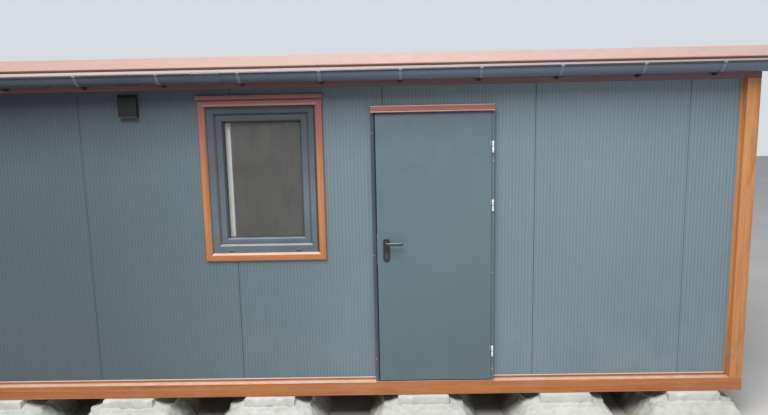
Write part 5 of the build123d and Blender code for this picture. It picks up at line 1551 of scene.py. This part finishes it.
# rubber round the opening, and plugs over the frame's fixings
s = Soup()
gask = [(0.4, 5.8), (9.0, 5.8), (9.0, 3.2), (5.0, 1.0), (1.2, 3.0)]
prism(s, [(JI0 + u, v) for u, v in gask], "z", SILL + 1, HEAD0 - 1, 0)
prism(s, [(JI1 - u, v) for u, v in gask], "z", SILL + 1, HEAD0 - 1, 0)
prism(s, [(v, HEAD0 - u) for u, v in gask], "x", JI0 + 9.2, JI1 - 9.2, 0)
make("door_frame_seals", s, [M["seal"]])
s = Soup()
for x, y, zs in ((278.6, -38.7, (2330.0, 1395.0, 560.0)), (1191.5, -45.1, (2110.0, 1250.0, 470.0))):
    for z in zs:
        lathe(s, [(0, 0), (3.6, 0), (3.6, 0.7), (2.9, 1.3), (0, 1.5)], (x, y, z), (0, -1, 0), 16, 0)
make("door_frame_plugs", s, [M["zinc"]], angle=35)

s = Soup()
sill = fillet([(-47.0, 371.9), (99.8, 371.9), (99.8, 378.0), (20.0, 378.0), (-47.0, 376.6)], [0.8, 0.8, 1.0, 0, 1.4], 3, True)
prism(s, sill, "x", JX0 + 0.2, JX1 - 0.2, 0)
make("door_sill_plate", s, [M["zinc"]], stands=["door_sill"], angle=30)

# leaf: two pressed steel skins folded round the core, the joint shows on the edges
s = Soup()
rbox(s, LX0, LX1, LY0, -21.6, LZ0, LZ1, 2.0, 4, 0)
rbox(s, LX0, LX1, -20.8, 0.0, LZ0, LZ1, 2.0, 4, 0)
rbox(s, LX0 + 2, LX1 - 2, -22.4, -20.0, LZ0 + 2, LZ1 - 2, 0.2, 1, 1)
make("door_leaf_skins", s, [M["door"], M["seal"]], body="door", stands=["door_leaf"], angle=35)
s = Soup()
# lock plate in the free edge, with its screws, and two closed bolt slots
out = rounded(21.0, 236.0, 10.0, 6, 0.0, 0.0)
verts = []
for h in (0.0, 0.9):
    for a, b in out:
        verts.append((LX0 + 0.1 - h, -33.0 + a, 1436.0 + b))
n = len(out)
s.add(verts, [[i, (i + 1) % n, n + (i + 1) % n, n + i] for i in range(n)] + [list(range(n)), [n + i for i in range(n)]], 0)
for z in (1334.0, 1538.0):
    pan_screw(s, (LX0 - 0.8, -33.0, z), (-1, 0, 0), 3.6, 0, 1)
rbox(s, LX0 - 1.0, LX0 - 0.7, -38.0, -28.0, 1474.0, 1498.0, 0.1, 1, 1)
rbox(s, LX0 - 1.0, LX0 - 0.7, -38.0, -28.0, 1380.0, 1412.0, 0.1, 1, 1)
make("door_lock_plate", s, [M["zinc"], M["dark"]], body="door", angle=35)

# hinges
HX, HY = 1188.0, -53.0


def screws(s, x, zs, y=-48.6):
    for z in zs:
        lathe(s, [(0, 0), (2.5, 0), (2.3, 0.6), (1.2, 1.0), (0, 1.0)], (x, y, z), (0, -1, 0), 14, 0)


pins, leafs = Soup(), Soup()
for cz in (617.0, 1771.0, 2214.0):
    z0, z1 = cz - 44.0, cz + 44.0
    lathe(pins, [(0, 0), (5.0, 0), (6.4, 1.0), (7.0, 2.4), (7.0, 40.6), (6.6, 41.4), (0, 41.4)], (HX, HY, z0), (0, 0, 1), 28, 0)
    lathe(pins, [(0, 41.5), (6.2, 41.5), (6.2, 43.9), (0, 43.9)], (HX, HY, z0), (0, 0, 1), 28, 1)
    rbox(pins, HX + 0.4, JX1 - 3.0, -48.5, -45.1, z0 + 2.0, cz - 3.0, 1.2, 3, 2)
    lathe(leafs, [(0, 0), (6.6, 0.0), (7.0, 0.8), (7.0, 41.0), (6.4, 42.4), (5.0, 43.4), (0, 43.4)], (HX, HY, cz + 0.6), (0, 0, 1), 28, 0)
    rbox(leafs, HX - 23.0, HX - 0.4, -48.5, -45.1, cz + 3.0, z1 - 2.0, 1.2, 3, 1)
    screws(leafs, HX - 17.0, (cz + 12.0, z1 - 11.0), -48.6)
make("hinge_frame_parts", pins, [M["bright"], M["black"], M["door"]], stands=["door_hinge_pins"], angle=35)
make("hinge_leaf_parts", leafs, [M["bright"], M["door"]], body="door", stands=["door_hinge_knuckles"], angle=35)

# handle: a long plate each side, a key cylinder and a bent lever
HPX, HPZ, LVZ, CYZ = 375.0, 1436.5, 1490.0, 1398.0
s = Soup()
for yb, yf, d in ((-45.1, -53.0, -1), (0.1, 8.0, 1)):
    plate(s, rounded(52.0, 179.0, 23.0, 12, HPX, HPZ), yb, yf, 3.0, 0, 5)
    lathe(s, [(0, -0.5), (15.5, -0.5), (15.5, 1.2), (14.6, 2.2), (13.6, 2.4), (0, 2.4)], (HPX, yf, LVZ), (0, d, 0), 36, 0)
    # key cylinder: a round barrel over a narrow tail, with the keyhole
    lathe(s, [(0, -0.5), (8.6, -0.5), (8.6, 2.6), (8.0, 3.2), (6.9, 3.2), (6.6, 2.9), (0, 2.9)], (HPX, yf, CYZ), (0, d, 0), 30, 1)
    y0, y1 = sorted((yf - d * 0.4, yf + d * 2.8))
    rbox(s, HPX - 5.0, HPX + 5.0, y0, y1, CYZ - 24.0, CYZ - 5.0, 1.2, 3, 1)
    y0, y1 = sorted((yf + d * 2.7, yf + d * 3.0))
    rbox(s, HPX - 1.1, HPX + 1.1, y0, y1, CYZ - 4.8, CYZ + 3.6, 0.1, 1, 2)
    for z in (HPZ + 76.0, HPZ - 76.0):
        lathe(s, [(0, -0.3), (4.4, -0.3), (4.2, 0.7), (3.0, 1.1), (0, 1.1)], (HPX, yf, z), (0, d, 0), 20, 0)
make("handle_plate_pair", s, [M["black"], M["cylinder"], M["dark"]], body="door", stands=["handle_plates"], angle=32)


def oval_sweep(s, path, sizes, n=28, mat=0):
    """A tube along a level path, with its own half height and half depth at each point."""
    pts = [Vector(p) for p in path]
    rows, verts, faces = [], [], []
    for i, p in enumerate(pts):
        t = (pts[min(i + 1, len(pts) - 1)] - pts[max(i - 1, 0)]).normalized()
        nn = Vector((0, 0, 1)).cross(t).normalized()
        a, b = sizes[i]
        rows.append([len(verts) + k for k in range(n)])
        for k in range(n):
            w = 2 * math.pi * k / n
            verts.append((p + Vector((0, 0, 1)) * a * math.cos(w) + nn * b * math.sin(w))[:])
    for a, b in zip(rows[:-1], rows[1:]):
        for k in range(n):
            j = (k + 1) % n
            faces.append([a[k], a[j], b[j], b[k]])
    faces += [rows[0], rows[-1]]
    s.add(verts, faces, mat)


s = Soup()
for yf, d in ((-55.6, -1), (10.6, 1)):
    yg = -95.0 if d < 0 else 50.0
    path, sizes = [], []
    for y in np.linspace(yf, yg - d * 17.0, 5):
        path.append((HPX, y, LVZ))
        sizes.append((8.0, 8.0))
    for k in range(1, 11):
        a = math.pi / 2 * k / 10
        path.append((HPX + 17.0 * (1 - math.cos(a)), yg - d * 17.0 + d * 17.0 * math.sin(a), LVZ))
        f = k / 10
        sizes.append((8.0 + 3.0 * f, 8.0 - 1.0 * f))
    for x in np.linspace(HPX + 24, 492.0, 8):
        path.append((x, yg, LVZ))
        sizes.append((11.0, 7.0))
    for k in range(1, 9):
        a = math.pi / 2 * k / 8
        path.append((492.0 + 11.0 * math.sin(a), yg, LVZ))
        c = max(0.05, math.cos(a))
        sizes.append((11.0 * c ** 0.8, 7.0 * c ** 0.8))
    oval_sweep(s, path, sizes)
    lathe(s, [(0, 0), (10.4, 0), (10.4, 3.4), (9.6, 4.4), (8.1, 4.6), (0, 4.6)], (HPX, yf, LVZ), (0, d, 0), 32, 0)
make("handle_lever_pair", s, [M["lever"]], body="handle", stands=["door_lever"], angle=40)

# lintel trim
s = Soup()
lint = sheet_outline([(-46.0, 2479.9), (-63.0, 2479.6), (-63.0, 2486.0), (-57.0, 2490.0), (-56.0, 2526.0), (-50.0, 2531.0), (-0.6, 2533.0)], -1.5, [0, 1.6, 1.6, 1.6, 2.0, 2.5, 0], 4)
prism(s, lint, "x", JX0, JX1, 0)
for x0, x1 in ((JX0, JX0 + 1.4), (JX1 - 1.4, JX1)):
    prism(s, [(-46.0, 2481.2), (-61.8, 2481.2), (-61.8, 2485.6), (-55.8, 2489.6), (-54.8, 2525.6), (-49.2, 2529.8), (-0.8, 2531.6), (-0.8, 2521.5), (-45.6, 2521.5)], "x", x0, x1, 0)
for x in (JX0 + 34.0, JX1 - 38.0):
    pan_screw(s, (x, -56.6, 2509.0), (0, -1, 0), 4.2, 0, 2)
make("lintel_trim_sheet", s, [M["oak_x"], M["zinc"], M["dark"]], stands=["door_lintel_trim"], angle=25)

# ------------------------------------------------------- floor, light, camera
floor_mat = Mat("studio_floor", rough=0.85, spec=0.2)
soft = floor_mat.mix(floor_mat.span(floor_mat.noise(0.8, 4, 0.5), 0.3, 0.7), (0.44, 0.43, 0.415, 1), (0.48, 0.47, 0.455, 1))
floor_m = floor_mat.done(soft, 0.85, floor_mat.bump(floor_mat.noise(60.0, 3, 0.5), 0.001, 0.2))
mesh = bpy.data.meshes.new("studio_floor")
n = 24
verts = [(-30 + 60.0 * i / n, -30 + 60.0 * j / n, -0.0005) for j in range(n + 1) for i in range(n + 1)]
faces = [[j * (n + 1) + i, j * (n + 1) + i + 1, (j + 1) * (n + 1) + i + 1, (j + 1) * (n + 1) + i] for j in range(n) for i in range(n)]
mesh.from_pydata(verts, [], faces)
mesh.materials.append(floor_m)
floor_o = bpy.data.objects.new("studio_floor", mesh)
bpy.context.scene.collection.objects.link(floor_o)

world = bpy.data.worlds.new("studio")
bpy.context.scene.world = world
world.use_nodes = True
wn, wl = world.node_tree.nodes, world.node_tree.links
bg = wn["Background"]
way = wn.new("ShaderNodeTexCoord")
split = wn.new("ShaderNodeSeparateXYZ")
wl.new(way.outputs["Generated"], split.inputs[0])
back = wn.new("ShaderNodeMapRange")          # pale behind the house, dimmer behind the camera
back.inputs["From Min"].default_value, back.inputs["From Max"].default_value = -0.75, -0.10
back.inputs["To Min"].default_value, back.inputs["To Max"].default_value = 0.0, 1.0
wl.new(split.outputs["Y"], back.inputs["Value"])
tone = wn.new("ShaderNodeMix")
tone.data_type = "RGBA"
tone.inputs[6].default_value = (0.20, 0.215, 0.24, 1)
tone.inputs[7].default_value = (0.68, 0.71, 0.76, 1)
wl.new(back.outputs[0], tone.inputs["Factor"])
wl.new(tone.outputs[2], bg.inputs[0])
bg.inputs[1].default_value = 1.0


def area(name, at, to, size, size_y, power, color=(1, 1, 1)):
    l = bpy.data.lights.new(name, "AREA")
    l.shape = "RECTANGLE"
    l.size, l.size_y, l.energy, l.color = size, size_y, power, color
    o = bpy.data.objects.new(name, l)
    o.location = at
    o.rotation_euler = (Vector(to) - Vector(at)).to_track_quat("-Z", "Y").to_euler()
    bpy.context.scene.collection.objects.link(o)
    return o


area("soft_top", (-1.6, -6.8, 10.0), (1.0, -1.0, 1.5), 6.0, 6.0, 1880.0, (1.0, 0.99, 0.975))
area("soft_front", (5.0, -8.2, 1.3), (2.2, -1.2, 2.2), 6.0, 2.4, 95.0, (0.97, 0.985, 1.0))

cam = bpy.data.cameras.new("camera")
cam.lens, cam.sensor_width, cam.sensor_fit = 28.125, 36.0, "HORIZONTAL"
cam.clip_start, cam.clip_end = 0.05, 200.0
yaw, pitch, roll = math.radians(-0.803), math.radians(8.078), math.radians(-1.1435)
f = Vector((math.sin(yaw) * math.cos(pitch), math.cos(yaw) * math.cos(pitch), -math.sin(pitch)))
r = Vector((math.cos(yaw), -math.sin(yaw), 0.0))
u = r.cross(f)
r2 = r * math.cos(roll) + u * math.sin(roll)
u2 = u * math.cos(roll) - r * math.sin(roll)
camera = bpy.data.objects.new("camera", cam)
m = Matrix(((r2.x, u2.x, -f.x, 0.4254), (r2.y, u2.y, -f.y, -5.784), (r2.z, u2.z, -f.z, 2.410), (0, 0, 0, 1)))
camera.matrix_world = m
bpy.context.scene.collection.objects.link(camera)
bpy.context.scene.camera = camera
bpy.context.scene.view_settings.view_transform = "Standard"
bpy.context.scene.view_settings.look = "None"
